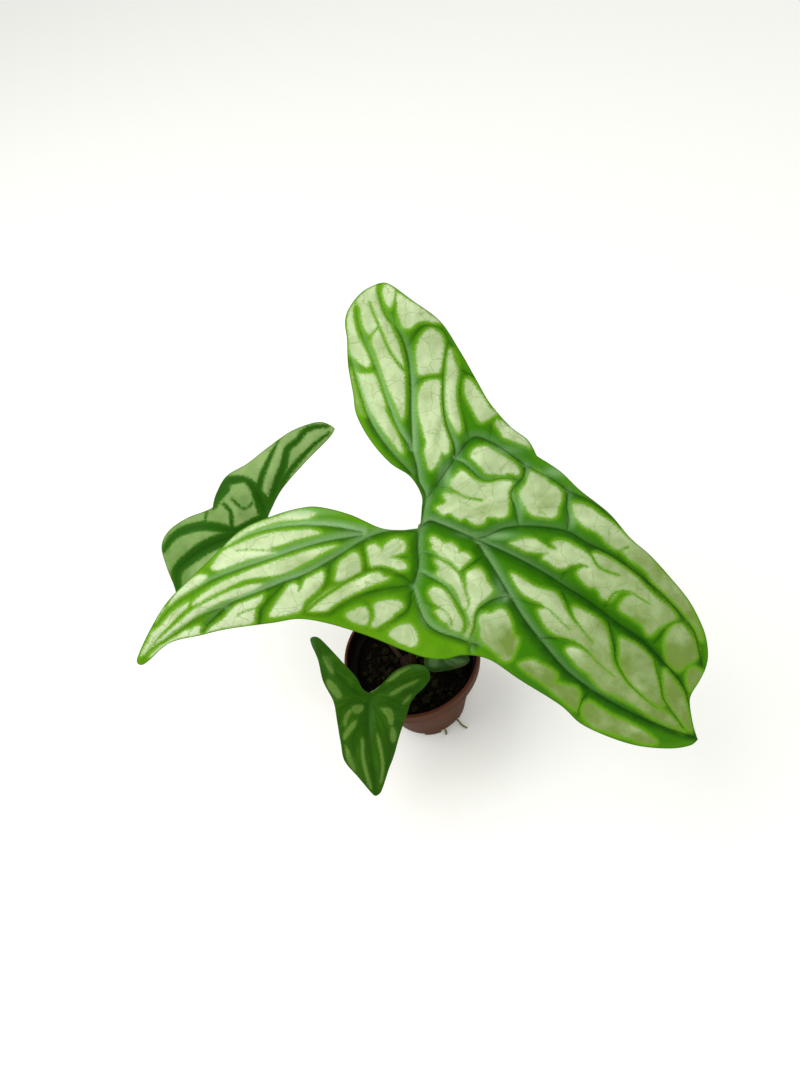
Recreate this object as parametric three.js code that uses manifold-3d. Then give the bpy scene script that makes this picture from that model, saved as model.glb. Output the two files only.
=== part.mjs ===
// Potted cercestis mirabilis: four silver-patterned blades on petioles that rise from
// one short crown, in a tapered nursery pot full of soil, with two root tips at a slot.
// Millimetres, +Z up, origin at the centre of the pot's base, the viewer stands at -Y.
import * as THREE from 'three';
import { mergeVertices } from 'three/addons/utils/BufferGeometryUtils.js';
import Module from 'manifold-3d';

const wasm = await Module();
wasm.setup();

// Driving dimensions
const potHeight = 86;
const rimDiameter = 105;
const baseDiameter = 62;
const collarHeight = 15;
const wall = 1.3;
const floorThickness = 1.6;
const soilTop = 70;
const bladeThickness = 1.2;
const gap = 0.3; // clearance between pieces that touch

// Viewpoint that the leaves are drawn from: its place, tilt and picture scale
const eyeFromRim = new THREE.Vector3(19.4, -323.3, 569.1);
const viewTilt = THREE.MathUtils.degToRad(52.5);
const viewRoll = THREE.MathUtils.degToRad(17.5);
const pictureCentre = [400, 532.5];
const picturePerDepth = 850; // picture units across one depth

const eye = eyeFromRim.clone().add(new THREE.Vector3(0, 0, potHeight));
const viewForward = new THREE.Vector3(0, Math.cos(viewTilt), -Math.sin(viewTilt));
const levelRight = new THREE.Vector3(1, 0, 0);
const levelUp = new THREE.Vector3(0, Math.sin(viewTilt), Math.cos(viewTilt));
const viewRight = levelRight.clone().multiplyScalar(Math.cos(viewRoll))
  .addScaledVector(levelUp, -Math.sin(viewRoll));
const viewDown = levelRight.clone().multiplyScalar(-Math.sin(viewRoll))
  .addScaledVector(levelUp, -Math.cos(viewRoll));
const faceUp = viewForward.clone().negate(); // the side of every blade that faces the viewer

// Leaves, drawn in picture units: midrib from apex to joint, then for each half
// the margin from apex to shoulder, from shoulder to lobe tip, and the sinus margin
const largeLeaf = {
  name: 'large',
  depth: 467.5, // distance of the joint in front of the viewer
  rows: [30, 26],
  columns: 10,
  arch: 9, // rise of each half between midrib and margin
  edgeDrop: 4,
  wave: 4.5,
  waveCount: 3.2,
  widthForFullArch: 110,
  ribDepth: 1.4,
  ribWidth: 7,
  lobes: [
    { tip: [697.8, 739.6], droop: 40 },
    { tip: [138, 664], droop: 36 },
    { tip: [385, 282.5], droop: 18 },
  ],
  midrib: [
    [697.8, 739.6], [686, 716], [674, 690], [659, 666], [639, 640.5], [614, 621], [588, 601.5],
    [563, 585.5], [531, 565.5], [498, 550], [463, 534], [441, 525.5], [429, 523], [420, 528],
  ],
  halves: [
    {
      front: [
        [697.8, 739.6], [693.5, 726], [690, 706], [691, 695], [700, 680], [706, 667], [708, 652],
        [704, 630.5], [690, 602], [670, 577], [650, 555], [630, 537.5], [609, 513], [580, 490],
        [560, 471], [537, 456],
      ],
      back: [
        [537, 456], [528, 440], [510, 426], [490, 403], [476, 379], [459.5, 350], [440, 321],
        [412, 300], [393, 286], [385, 282.5],
      ],
      sinus: [
        [420, 528], [421.5, 510], [421.3, 495], [410, 476.5], [390, 463], [370, 440], [356.5, 415],
        [353, 393.5], [348, 365], [347, 340], [345, 321], [350, 306.5], [362, 292], [377, 284],
        [385, 282.5],
      ],
    },
    {
      front: [
        [697.8, 739.6], [690, 745.5], [670, 748.5], [639, 746], [609, 737], [580.5, 723.5],
        [560, 705], [520, 680], [490, 660], [465, 655], [445, 659], [425, 657.5], [400, 649],
      ],
      back: [
        [400, 649], [368, 636], [330, 624], [299.5, 619], [272, 623], [228, 629], [200, 635.5],
        [170, 643], [148.5, 661], [142, 665], [138, 664],
      ],
      sinus: [
        [420, 528], [411.7, 529], [400, 530], [380, 527.7], [350, 514.5], [320, 507], [300, 508],
        [272, 516], [240, 530.5], [210, 559.5], [170, 598.5], [150.7, 628.5], [137.6, 657],
        [138, 664],
      ],
    },
  ],
  ribs: [
    [
      [429, 521.5], [463, 534], [498, 550], [542, 572], [588.5, 601.5], [628, 630.5],
      [673, 671.5], [689, 704],
    ],
    [[480, 548], [493.7, 570], [518, 607.5], [551, 656], [586, 686.5], [630, 712], [673, 730.5]],
    [[474, 539], [504.6, 528.5], [550, 528], [598, 548.5], [646, 582], [686.5, 622], [701, 660]],
    [[420, 528], [425, 495], [412, 452], [410, 400], [405, 345], [380, 302]],
    [[425, 500], [453.5, 462], [480.4, 438], [525, 465], [581.5, 497], [619.6, 526.5]],
    [[417, 531], [373.5, 535], [320, 567], [266, 590.5], [215, 612], [162.7, 642.8]],
    [[362.6, 536], [302.7, 548.4], [233.5, 572], [177, 602.4]],
    [[418, 530], [418, 567], [411, 585], [418.5, 607.6], [439, 632.6], [476, 645]],
    [[411, 585], [371, 572], [329, 591], [304, 613]],
  ],
};

const middleLeaf = {
  name: 'middle',
  depth: 640,
  rows: [16, 16],
  columns: 6,
  arch: 6,
  edgeDrop: 3,
  wave: 2.5,
  waveCount: 2.3,
  widthForFullArch: 60,
  ribDepth: 1,
  ribWidth: 5,
  lobes: [
    { tip: [187, 617], droop: 22 },
    { tip: [335, 429], droop: 16 },
    { tip: [330, 596], droop: 16 },
  ],
  midrib: [
    [187, 617], [180, 600], [178, 583], [182, 568], [204, 551.6], [225, 541], [245, 530], [268, 517],
  ],
  halves: [
    {
      front: [
        [187, 617], [179, 603], [174, 586], [166.6, 567], [161.5, 546.5], [169, 530.5],
        [187, 518], [204, 511.5], [212.5, 507.6],
      ],
      back: [
        [212.5, 507.6], [216, 494], [226.5, 476], [247, 463.6], [267, 448], [290, 431.7],
        [310.7, 423.4], [322, 422], [331, 425.5], [335, 429],
      ],
      sinus: [
        [268, 517], [272, 508], [282.7, 488.4], [305.6, 462], [328.6, 438.7], [335, 429],
      ],
    },
    {
      front: [
        [187, 617], [205, 613], [228, 606], [248, 600], [262, 594],
      ],
      back: [
        [262, 594], [280, 594], [300, 598], [318, 600], [330, 596],
      ],
      sinus: [
        [268, 517], [274, 526], [286, 540], [303, 556], [320, 574], [329, 587], [330, 596],
      ],
    },
  ],
  ribs: [
    [[262, 520], [225, 541], [189.5, 559], [175.5, 572]],
    [[266, 507], [277.6, 481], [288, 449.5], [327, 424]],
    [[263.5, 504], [258.4, 489], [245.7, 477.6], [219.5, 497]],
    [[266, 522], [285, 560], [322, 592]],
  ],
};

const smallLeaf = {
  name: 'small',
  depth: 590,
  rows: [16, 12],
  columns: 6,
  arch: 4.5,
  edgeDrop: 2.5,
  wave: 1,
  waveCount: 2,
  widthForFullArch: 40,
  ribDepth: 0.8,
  ribWidth: 4,
  lobes: [
    { tip: [376, 796], droop: 14 },
    { tip: [428, 669.6], droop: 9 },
    { tip: [310, 639.5], droop: 10 },
  ],
  midrib: [
    [376, 796], [373.5, 775], [370, 735], [369, 714], [370, 702], [369, 693],
  ],
  halves: [
    {
      front: [
        [376, 796], [381.5, 791], [389, 769], [394, 755.6], [400.4, 733], [407.7, 712],
      ],
      back: [
        [407.7, 712], [410.5, 703], [416, 695], [424, 687.5], [429.5, 680], [430, 674], [428, 669.6],
      ],
      sinus: [
        [369, 693], [373.7, 691], [379, 687], [392.6, 673], [400.4, 668], [408, 665], [417, 664.3],
        [424, 665.7], [428, 669.6],
      ],
    },
    {
      front: [
        [376, 796], [372, 793.5], [358, 777], [344.6, 761], [340.7, 743], [337, 721], [335, 707.6],
      ],
      back: [
        [335, 707.6], [332.4, 699], [323, 681], [318, 660], [312, 646], [310, 639.5],
      ],
      sinus: [
        [369, 693], [362.5, 688.6], [356, 677], [342.4, 662], [325.7, 644], [318, 637.3],
        [312, 637], [310, 639.5],
      ],
    },
  ],
  ribs: [
    [[370, 696], [369, 714], [371, 745], [376, 792]],
    [[372, 697], [395, 684], [422, 672]],
    [[366, 697], [346, 682], [316, 644]],
  ],
};

const youngLeaf = {
  name: 'young',
  depth: 634,
  rows: [8, 6],
  columns: 4,
  arch: 2.5,
  edgeDrop: 1,
  wave: 0.5,
  waveCount: 2,
  widthForFullArch: 20,
  ribDepth: 0.6,
  ribWidth: 3,
  lobes: [
    { tip: [470, 660], droop: 5 },
    { tip: [424, 660], droop: 4 },
    { tip: [428, 634], droop: 4 },
  ],
  midrib: [
    [470, 660], [458, 656], [446, 650], [438, 646],
  ],
  halves: [
    {
      front: [
        [470, 660], [466, 651], [458, 643], [449, 637],
      ],
      back: [
        [449, 637], [441, 632], [433, 631], [428, 634],
      ],
      sinus: [
        [438, 646], [434, 643], [430, 639], [428, 634],
      ],
    },
    {
      front: [
        [470, 660], [467, 664], [460, 667.5], [450, 670], [441, 671.5],
      ],
      back: [
        [441, 671.5], [434, 672], [428, 670], [424.5, 665.5], [424, 660],
      ],
      sinus: [
        [438, 646], [434, 649], [429, 653], [425.5, 656.5], [424, 660],
      ],
    },
  ],
  ribs: [
    [[438, 646], [450, 652], [466, 659]],
  ],
};

// Crown and petioles: each petiole stands in a socket of the crown and bends to its blade
const crownCentre = [-5, 2];
const crownRadius = 6.6;
const crownTop = soilTop + 4.5;
const crownBottom = 44;
const socketBottom = 60;
const socketRing = 4; // radius of the ring that the petioles stand on
const petioles = [
  { leaf: largeLeaf, radius: 2.3, socketAngle: 330, rise: [3, -6, 95], approach: [0, 34, -46] },
  { leaf: middleLeaf, radius: 1.9, socketAngle: 130, rise: [-9, 12, 52], approach: [16, 2, -34] },
  { leaf: smallLeaf, radius: 1.5, socketAngle: 250, rise: [0, -4, 28], approach: [14, 9, -12] },
  { leaf: youngLeaf, radius: 1.1, socketAngle: 30, rise: [4, -2, 18], approach: [-5, 6, -8] },
];
const petioleSides = 8;
const petioleStep = 9; // length of one petiole segment

// Drain slots and roots
const slotCount = 6;
const slotMiddle = -67.5; // direction of the slot that the roots come out of, in degrees
const slotHalfAngle = 17;
const slotInner = 25.5;
const slotHeight = 6;
const rootRadius = 0.8;
const roots = [
  {
    name: 'root_long',
    points: [
      [21.5, -54, 9], [26.5, -54, 6], [30.2, -54.5, 3.2], [33.2, -55, 1.6], [37.5, -56.3, 1.15],
      [42, -55.3, 1.15],
    ],
  },
  {
    name: 'root_short',
    points: [
      [21, -79, 9], [26, -80, 6], [29.5, -79.5, 3.2], [32, -78.5, 1.6], [35.2, -80.5, 1.15],
    ],
  },
]; // each point: distance from the pot's axis, direction in degrees, height

// Colours of the real thing
const finishes = {
  leaf: { color: 0x6da23a, roughness: 0.42, metalness: 0 },
  leafDark: { color: 0x3f7420, roughness: 0.42, metalness: 0 },
  petiole: { color: 0x6f8a3c, roughness: 0.5, metalness: 0 },
  crown: { color: 0x6b4a35, roughness: 0.75, metalness: 0 },
  root: { color: 0x6d6a48, roughness: 0.8, metalness: 0 },
  soil: { color: 0x1d1712, roughness: 0.95, metalness: 0 },
  pot: { color: 0x5e3a30, roughness: 0.55, metalness: 0 },
};

// Shared helpers

function cleanIndex(geometry) {
  const bare = geometry.clone();
  bare.deleteAttribute('normal');
  bare.deleteAttribute('uv');
  const merged = mergeVertices(bare, 1e-4);
  const source = merged.index.array;
  const kept = [];
  for (let i = 0; i < source.length; i += 3) {
    const [a, b, c] = [source[i], source[i + 1], source[i + 2]];
    if (a !== b && b !== c && c !== a) {
      kept.push(a, b, c);
    }
  }
  merged.setIndex(kept);
  return merged;
}

function solidOf(geometry) {
  const clean = cleanIndex(geometry);
  const mesh = new wasm.Mesh({
    numProp: 3,
    vertProperties: new Float32Array(clean.attributes.position.array),
    triVerts: new Uint32Array(clean.index.array),
  });
  return new wasm.Manifold(mesh);
}

function geometryOf(solid) {
  const mesh = solid.getMesh();
  const geometry = new THREE.BufferGeometry();
  geometry.setAttribute('position', new THREE.BufferAttribute(mesh.vertProperties, 3));
  geometry.setIndex(new THREE.BufferAttribute(mesh.triVerts, 1));
  geometry.computeVertexNormals();
  return geometry;
}

function namedMesh(name, geometry, finish) {
  const mesh = new THREE.Mesh(geometry, new THREE.MeshStandardMaterial(finishes[finish]));
  mesh.name = name;
  return mesh;
}

function turned(profile, segments) {
  const points = profile.map(([radius, height]) => new THREE.Vector2(radius, height));
  return new THREE.LatheGeometry(points, segments).rotateX(Math.PI / 2);
}

function roundBar(path, radius, sides, steps) {
  const section = new THREE.Shape();
  for (let i = 0; i < sides; i += 1) {
    const angle = (2 * Math.PI * i) / sides;
    const point = [radius * Math.cos(angle), radius * Math.sin(angle)];
    if (i === 0) {
      section.moveTo(...point);
    } else {
      section.lineTo(...point);
    }
  }
  section.closePath();
  return new THREE.ExtrudeGeometry(section, { steps, extrudePath: path, bevelEnabled: false });
}

function aroundAxis(radius, degrees, height) {
  const angle = THREE.MathUtils.degToRad(degrees);
  return new THREE.Vector3(radius * Math.cos(angle), radius * Math.sin(angle), height);
}

// Where a sight line through a picture point reaches a depth in front of the viewer
function onSightLine([x, y], depth) {
  const across = ((x - pictureCentre[0]) / picturePerDepth) * depth;
  const down = ((y - pictureCentre[1]) / picturePerDepth) * depth;
  return eye.clone()
    .addScaledVector(viewForward, depth)
    .addScaledVector(viewRight, across)
    .addScaledVector(viewDown, down);
}

function evenPoints(outline, steps) {
  const curve = new THREE.SplineCurve(outline.map(([x, y]) => new THREE.Vector2(x, y)));
  curve.arcLengthDivisions = 600;
  return curve.getSpacedPoints(steps);
}

function distanceToLine(point, line) {
  let nearest = Infinity;
  for (let i = 0; i + 1 < line.length; i += 1) {
    const start = new THREE.Vector2(...line[i]);
    const along = new THREE.Vector2(...line[i + 1]).sub(start);
    const offset = point.clone().sub(start);
    const t = THREE.MathUtils.clamp(offset.dot(along) / along.lengthSq(), 0, 1);
    nearest = Math.min(nearest, offset.addScaledVector(along, -t).length());
  }
  return nearest;
}

// Height of the blade towards the viewer at a picture point: the lobes droop with the
// square of the distance from the joint, each half arches between midrib and margin,
// the margin waves, and the main ribs lie in furrows
function bladeRelief(leaf, point, across, alongMargin, width) {
  const joint = new THREE.Vector2(...leaf.midrib.at(-1));
  const fromJoint = point.clone().sub(joint);
  let height = 0;
  for (const { tip, droop } of leaf.lobes) {
    const axis = new THREE.Vector2(...tip).sub(joint);
    const reach = Math.max(0, fromJoint.dot(axis) / axis.lengthSq());
    height -= droop * reach * reach;
  }
  const fullness = Math.min(1, width / leaf.widthForFullArch);
  height += leaf.arch * fullness * 4 * across * (1 - across);
  height -= leaf.edgeDrop * fullness * across * across;
  const swing = Math.sin(2 * Math.PI * leaf.waveCount * alongMargin + 0.6);
  height += leaf.wave * fullness * across * across * across * swing;
  const nearest = Math.min(...leaf.ribs.map((rib) => distanceToLine(point, rib)));
  height -= leaf.ribDepth * Math.exp(-((nearest / leaf.ribWidth) ** 2));
  return height;
}

function bladePoint(leaf, point, across, alongMargin, width) {
  const place = onSightLine([point.x, point.y], leaf.depth);
  const towardsEye = eye.clone().sub(place).normalize();
  return place.addScaledVector(towardsEye, bladeRelief(leaf, point, across, alongMargin, width));
}

// One face of a blade: each half is ruled between its inner line (midrib, then sinus
// margin) and its outer margin
function bladeFace(leaf) {
  const [frontRows, backRows] = leaf.rows;
  const rowCount = frontRows + backRows;
  const points = [];
  const triangles = [];
  for (const half of leaf.halves) {
    const inner = evenPoints(leaf.midrib, frontRows).concat(evenPoints(half.sinus, backRows).slice(1));
    const outer = evenPoints(half.front, frontRows).concat(evenPoints(half.back, backRows).slice(1));
    const first = points.length;
    for (let row = 0; row <= rowCount; row += 1) {
      const width = inner[row].distanceTo(outer[row]);
      for (let column = 0; column <= leaf.columns; column += 1) {
        const across = column / leaf.columns;
        const point = inner[row].clone().lerp(outer[row], across);
        points.push(bladePoint(leaf, point, across, row / rowCount, width));
      }
    }
    const stride = leaf.columns + 1;
    for (let row = 0; row < rowCount; row += 1) {
      for (let column = 0; column < leaf.columns; column += 1) {
        const a = first + row * stride + column;
        triangles.push([a, a + 1, a + stride + 1], [a, a + stride + 1, a + stride]);
      }
    }
  }
  return { points, triangles };
}

function mergeFace({ points, triangles }) {
  const known = new Map();
  const kept = [];
  const place = points.map((point) => {
    const key = point.toArray().map((value) => Math.round(value * 1000)).join(',');
    if (!known.has(key)) {
      known.set(key, kept.length);
      kept.push(point);
    }
    return known.get(key);
  });
  const facing = [];
  for (const corners of triangles) {
    const [a, b, c] = corners.map((corner) => place[corner]);
    if (a === b || b === c || c === a) {
      continue;
    }
    const side = kept[b].clone().sub(kept[a]).cross(kept[c].clone().sub(kept[a]));
    facing.push(side.dot(faceUp) > 0 ? [a, b, c] : [a, c, b]);
  }
  return { points: kept, triangles: facing };
}

// A blade as a closed solid: the same triangles above and below, and a wall along the margin
function bladeSolid(leaf, thickness) {
  const { points, triangles } = mergeFace(bladeFace(leaf));
  const count = points.length;
  const top = points.map((point) => point.clone().addScaledVector(faceUp, thickness / 2));
  const bottom = points.map((point) => point.clone().addScaledVector(faceUp, -thickness / 2));
  const edges = new Set();
  const index = [];
  for (const [a, b, c] of triangles) {
    index.push(a, b, c, count + a, count + c, count + b);
    edges.add(`${a},${b}`).add(`${b},${c}`).add(`${c},${a}`);
  }
  for (const edge of edges) {
    const [a, b] = edge.split(',').map(Number);
    if (!edges.has(`${b},${a}`)) {
      index.push(b, a, count + a, b, count + a, count + b);
    }
  }
  const geometry = new THREE.BufferGeometry();
  geometry.setFromPoints(top.concat(bottom));
  geometry.setIndex(index);
  return solidOf(geometry);
}

// The plant

function petioleSolid({ leaf, radius, socketAngle, rise, approach }, extra) {
  const [ringX, ringY] = aroundAxis(socketRing, socketAngle, 0).toArray();
  const foot = new THREE.Vector3(crownCentre[0] + ringX, crownCentre[1] + ringY, socketBottom - extra);
  const joint = new THREE.Vector2(...leaf.midrib.at(-1));
  const inward = new THREE.Vector2(...leaf.midrib.at(-2)).sub(joint).normalize();
  const seat = joint.addScaledVector(inward, radius / 2 + 1.5);
  const head = bladePoint(leaf, seat, 0, 0, 0).addScaledVector(faceUp, -bladeThickness);
  const path = new THREE.CubicBezierCurve3(
    foot,
    foot.clone().add(new THREE.Vector3(...rise)),
    head.clone().add(new THREE.Vector3(...approach)),
    head,
  );
  const steps = Math.ceil(path.getLength() / petioleStep);
  return solidOf(roundBar(path, radius + extra, petioleSides, steps));
}

function crownSolid(extra) {
  const radius = crownRadius + extra;
  const middle = (crownBottom + crownTop) / 2;
  const profile = [
    [0, crownBottom - extra], [radius * 0.55, crownBottom + 1], [radius * 0.9, middle - 4],
    [radius * 0.8, middle], [radius, middle + 5], [radius * 0.93, soilTop],
    [radius * 0.8, crownTop - 1.5], [radius * 0.5, crownTop + extra], [0, crownTop + extra],
  ];
  return solidOf(turned(profile, 14).translate(crownCentre[0], crownCentre[1], 0));
}

function rootSolid({ points }, extra) {
  const path = new THREE.CatmullRomCurve3(points.map((point) => aroundAxis(...point)));
  return solidOf(roundBar(path, rootRadius + extra, petioleSides, points.length * 3));
}

// The pot: a tapered cup with a stepped collar, a rolled rim and slots through the
// bottom corner
const baseRadius = baseDiameter / 2;
const rimRadius = rimDiameter / 2;
const shoulderHeight = potHeight - collarHeight;
const shoulderRadius = 46.5;
const collarRadius = rimRadius - 1;
const potSegments = 60;

function slotSolid(direction) {
  const start = THREE.MathUtils.degToRad(direction - slotHalfAngle);
  const end = THREE.MathUtils.degToRad(direction + slotHalfAngle);
  const sector = new THREE.Shape();
  sector.absarc(0, 0, baseRadius + 8, start, end, false);
  sector.absarc(0, 0, slotInner, end, start, true);
  sector.closePath();
  const block = new THREE.ExtrudeGeometry(sector, {
    depth: slotHeight + 1, curveSegments: 6, bevelEnabled: false,
  });
  return solidOf(block.translate(0, 0, -1));
}

function potSolid() {
  const profile = [
    [0, 0], [baseRadius - 1.2, 0], [baseRadius, 1.2], [shoulderRadius, shoulderHeight],
    [collarRadius, shoulderHeight + 1.2], [collarRadius + 0.2, potHeight - 3.2],
    [rimRadius, potHeight - 2.6], [rimRadius, potHeight - 0.6], [rimRadius - 0.6, potHeight],
    [rimRadius - 1.9, potHeight], [collarRadius - wall, potHeight - 1.2],
    [collarRadius - wall, shoulderHeight + wall + 1.2], [shoulderRadius - wall, shoulderHeight + 0.4],
    [baseRadius - wall, floorThickness], [0, floorThickness],
  ];
  let pot = solidOf(turned(profile, potSegments));
  for (let i = 0; i < slotCount; i += 1) {
    pot = pot.subtract(slotSolid(slotMiddle + (360 * i) / slotCount));
  }
  return pot;
}

// Soil: fills the pot to below the shoulder, with a lumpy top
function soilLumps(x, y) {
  const broad = 1.3 * Math.sin(0.19 * x + 1.1) * Math.cos(0.17 * y - 0.4);
  const fine = 0.9 * Math.sin(0.47 * x + 0.31 * y) * Math.cos(0.41 * y - 0.29 * x + 0.7);
  return broad + fine;
}

function soilSolid() {
  const bottomRadius = baseRadius - wall - gap;
  const edgeHeight = soilTop - 1;
  const taper = (shoulderRadius - baseRadius) / (shoulderHeight - floorThickness);
  const topRadius = bottomRadius + taper * (edgeHeight - floorThickness) - gap;
  const rings = 7;
  const profile = [[0, floorThickness + gap], [bottomRadius, floorThickness + gap]];
  for (let i = 0; i <= rings; i += 1) {
    profile.push([topRadius * (1 - i / rings), i === 0 ? edgeHeight : soilTop]);
  }
  const geometry = turned(profile, 36);
  const position = geometry.attributes.position;
  for (let i = 0; i < position.count; i += 1) {
    if (position.getZ(i) > soilTop - 0.5) {
      const lift = soilLumps(position.getX(i), position.getY(i));
      position.setZ(i, position.getZ(i) + lift);
    }
  }
  return solidOf(geometry);
}

// Assembly
const plant = new THREE.Group();

let soil = soilSolid().subtract(crownSolid(gap));
let crown = crownSolid(0);
for (const petiole of petioles) {
  const { leaf } = petiole;
  const blade = bladeSolid(leaf, bladeThickness);
  const clearBlade = bladeSolid(leaf, bladeThickness + 2 * gap);
  const stalk = petioleSolid(petiole, 0).subtract(clearBlade);
  const finish = leaf === largeLeaf ? 'leaf' : 'leafDark';
  const socket = petioleSolid(petiole, gap);
  crown = crown.subtract(socket);
  soil = soil.subtract(socket);
  plant.add(namedMesh(`blade_${leaf.name}`, geometryOf(blade), finish));
  plant.add(namedMesh(`petiole_${leaf.name}`, geometryOf(stalk), 'petiole'));
}
for (const root of roots) {
  soil = soil.subtract(rootSolid(root, gap));
  plant.add(namedMesh(root.name, geometryOf(rootSolid(root, 0)), 'root'));
}
plant.add(namedMesh('crown', geometryOf(crown), 'crown'));
plant.add(namedMesh('soil', geometryOf(soil), 'soil'));
plant.add(namedMesh('pot', geometryOf(potSolid()), 'pot'));

export default plant;
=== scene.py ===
# Potted cercestis mirabilis: blades, petioles, crown, roots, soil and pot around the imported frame
import math
import bpy
import bmesh
import numpy as np
from mathutils import Matrix, Vector


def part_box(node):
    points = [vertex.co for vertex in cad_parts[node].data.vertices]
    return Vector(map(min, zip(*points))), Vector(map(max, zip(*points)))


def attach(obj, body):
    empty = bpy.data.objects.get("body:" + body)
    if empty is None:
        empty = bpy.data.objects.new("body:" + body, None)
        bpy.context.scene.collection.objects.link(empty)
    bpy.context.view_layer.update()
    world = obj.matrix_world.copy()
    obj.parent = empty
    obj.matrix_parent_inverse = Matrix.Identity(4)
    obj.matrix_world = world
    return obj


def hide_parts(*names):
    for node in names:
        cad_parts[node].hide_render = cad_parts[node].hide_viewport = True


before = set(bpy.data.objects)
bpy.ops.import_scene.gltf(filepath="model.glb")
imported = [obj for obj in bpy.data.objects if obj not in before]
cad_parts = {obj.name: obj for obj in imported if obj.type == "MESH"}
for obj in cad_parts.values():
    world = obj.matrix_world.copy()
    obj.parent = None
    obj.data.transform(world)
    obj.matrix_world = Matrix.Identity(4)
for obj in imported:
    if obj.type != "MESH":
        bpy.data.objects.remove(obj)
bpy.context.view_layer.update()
millimetre = 0.001

# The leaves are drawn in picture units as one viewer sees them. A unit at a depth is a sight line
viewer = {
    "eyeFromRim": (0.0194, -0.3233, 0.5691),  # metres from the middle of the pot's rim
    "tilt": 52.5,
    "roll": 17.5,
    "focal": 850.0,
    "centre": (400.0, 532.5),
    "pictureHeight": 1065,
    "sensorHeight": 36,  # millimetres
    "nearest": 0.01,
}

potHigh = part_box("pot")[1]
rimHeight, rimRadius = potHigh[2], potHigh[0]
eye = np.array(viewer["eyeFromRim"]) + (0, 0, rimHeight)
tilt, roll = math.radians(viewer["tilt"]), math.radians(viewer["roll"])
viewForward = np.array((0, math.cos(tilt), -math.sin(tilt)))
levelUp = np.array((0, math.sin(tilt), math.cos(tilt)))
viewRight = math.cos(roll) * np.array((1.0, 0, 0)) - math.sin(roll) * levelUp
viewDown = -math.sin(roll) * np.array((1.0, 0, 0)) - math.cos(roll) * levelUp


def onSightLines(points, depth):
    # eye + depth * (forward + right * (x - cx) / focal + down * (y - cy) / focal)
    offset = (np.asarray(points, float) - viewer["centre"]) / viewer["focal"]
    return eye + depth * (viewForward + offset[..., :1] * viewRight + offset[..., 1:] * viewDown)


# Outlines and distances, all in picture units

def smoothLine(points, closed=False, steps=12):
    # Catmull-Rom: each stretch is a cubic through its two ends, with slopes from its neighbours
    points = np.asarray(points, float)
    if closed:
        padded = np.vstack([points[-1:], points, points[:2]])
    else:
        padded = np.vstack([points[:1], points, points[-1:]])
    p0, p1, p2, p3 = padded[:-3], padded[1:-2], padded[2:-1], padded[3:]
    t = (np.arange(steps) / steps)[None, :, None]
    cubic = (2 * p1[:, None] + (p2 - p0)[:, None] * t
             + (2 * p0 - 5 * p1 + 4 * p2 - p3)[:, None] * t ** 2
             + (3 * p1 - p0 - 3 * p2 + p3)[:, None] * t ** 3) / 2
    line = cubic.reshape(-1, points.shape[1])
    return line if closed else np.vstack([line, points[-1:]])


def evenPoints(points, count):
    line = smoothLine(points, steps=24)
    length = np.concatenate([[0], np.cumsum(np.linalg.norm(np.diff(line, axis=0), axis=1))])
    wanted = np.linspace(0, length[-1], count + 1)
    return np.column_stack([np.interp(wanted, length, column) for column in line.T])


def lineDistance(points, line):
    # Distance to a polyline, place along it from 0 to 1, offset from it, and side of it
    best = np.full(len(points), 1e9)
    place = np.zeros(len(points))
    offset = np.zeros((len(points), 2))
    side = np.ones(len(points))
    stretch = np.linalg.norm(np.diff(line, axis=0), axis=1)
    total = max(stretch.sum(), 1e-9)
    passed = 0.0
    for start, end, length in zip(line[:-1], line[1:], stretch):
        along = end - start
        t = np.clip(((points - start) @ along) / max(length ** 2, 1e-9), 0, 1)
        away = points - start - t[:, None] * along
        distance = np.hypot(away[:, 0], away[:, 1])
        nearer = distance < best
        best = np.where(nearer, distance, best)
        place = np.where(nearer, (passed + t * length) / total, place)
        offset = np.where(nearer[:, None], away, offset)
        side = np.where(nearer, np.sign(along[0] * away[:, 1] - along[1] * away[:, 0] + 1e-9), side)
        passed += length
    return best, place, offset, side


def insideOutline(points, outline):
    inside = np.zeros(len(points), bool)
    for (x0, y0), (x1, y1) in zip(outline, np.roll(outline, -1, axis=0)):
        crosses = (y0 > points[:, 1]) != (y1 > points[:, 1])
        if y0 != y1:
            inside ^= crosses & (points[:, 0] < (x1 - x0) * (points[:, 1] - y0) / (y1 - y0) + x0)
    return inside


def fade(value, low, high):
    # Smooth step from 0 at low to 1 at high
    t = np.clip((value - low) / (high - low), 0, 1)
    return t * t * (3 - 2 * t)


def lumpNoise(x, y, seed, octaves=4):
    # Value noise: random heights on a square grid, blended smoothly, halved at each finer octave
    random = np.random.default_rng(seed).random((256, 256))
    total = np.zeros(np.broadcast(x, y).shape)
    size = 1.0
    for octave in range(octaves):
        u, v = x / size + 17.3 * octave, y / size + 9.1 * octave
        i, j = np.floor(u).astype(int), np.floor(v).astype(int)
        fu, fv = u - i, v - j
        fu, fv = fu * fu * (3 - 2 * fu), fv * fv * (3 - 2 * fv)
        corner = [random[(i + a) % 256, (j + b) % 256] for a in (0, 1) for b in (0, 1)]
        low = corner[0] * (1 - fv) + corner[1] * fv
        high = corner[2] * (1 - fv) + corner[3] * fv
        total += (low * (1 - fu) + high * fu - 0.5) * 2 * size
        size /= 2
    return total / 2


# Meshes

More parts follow.
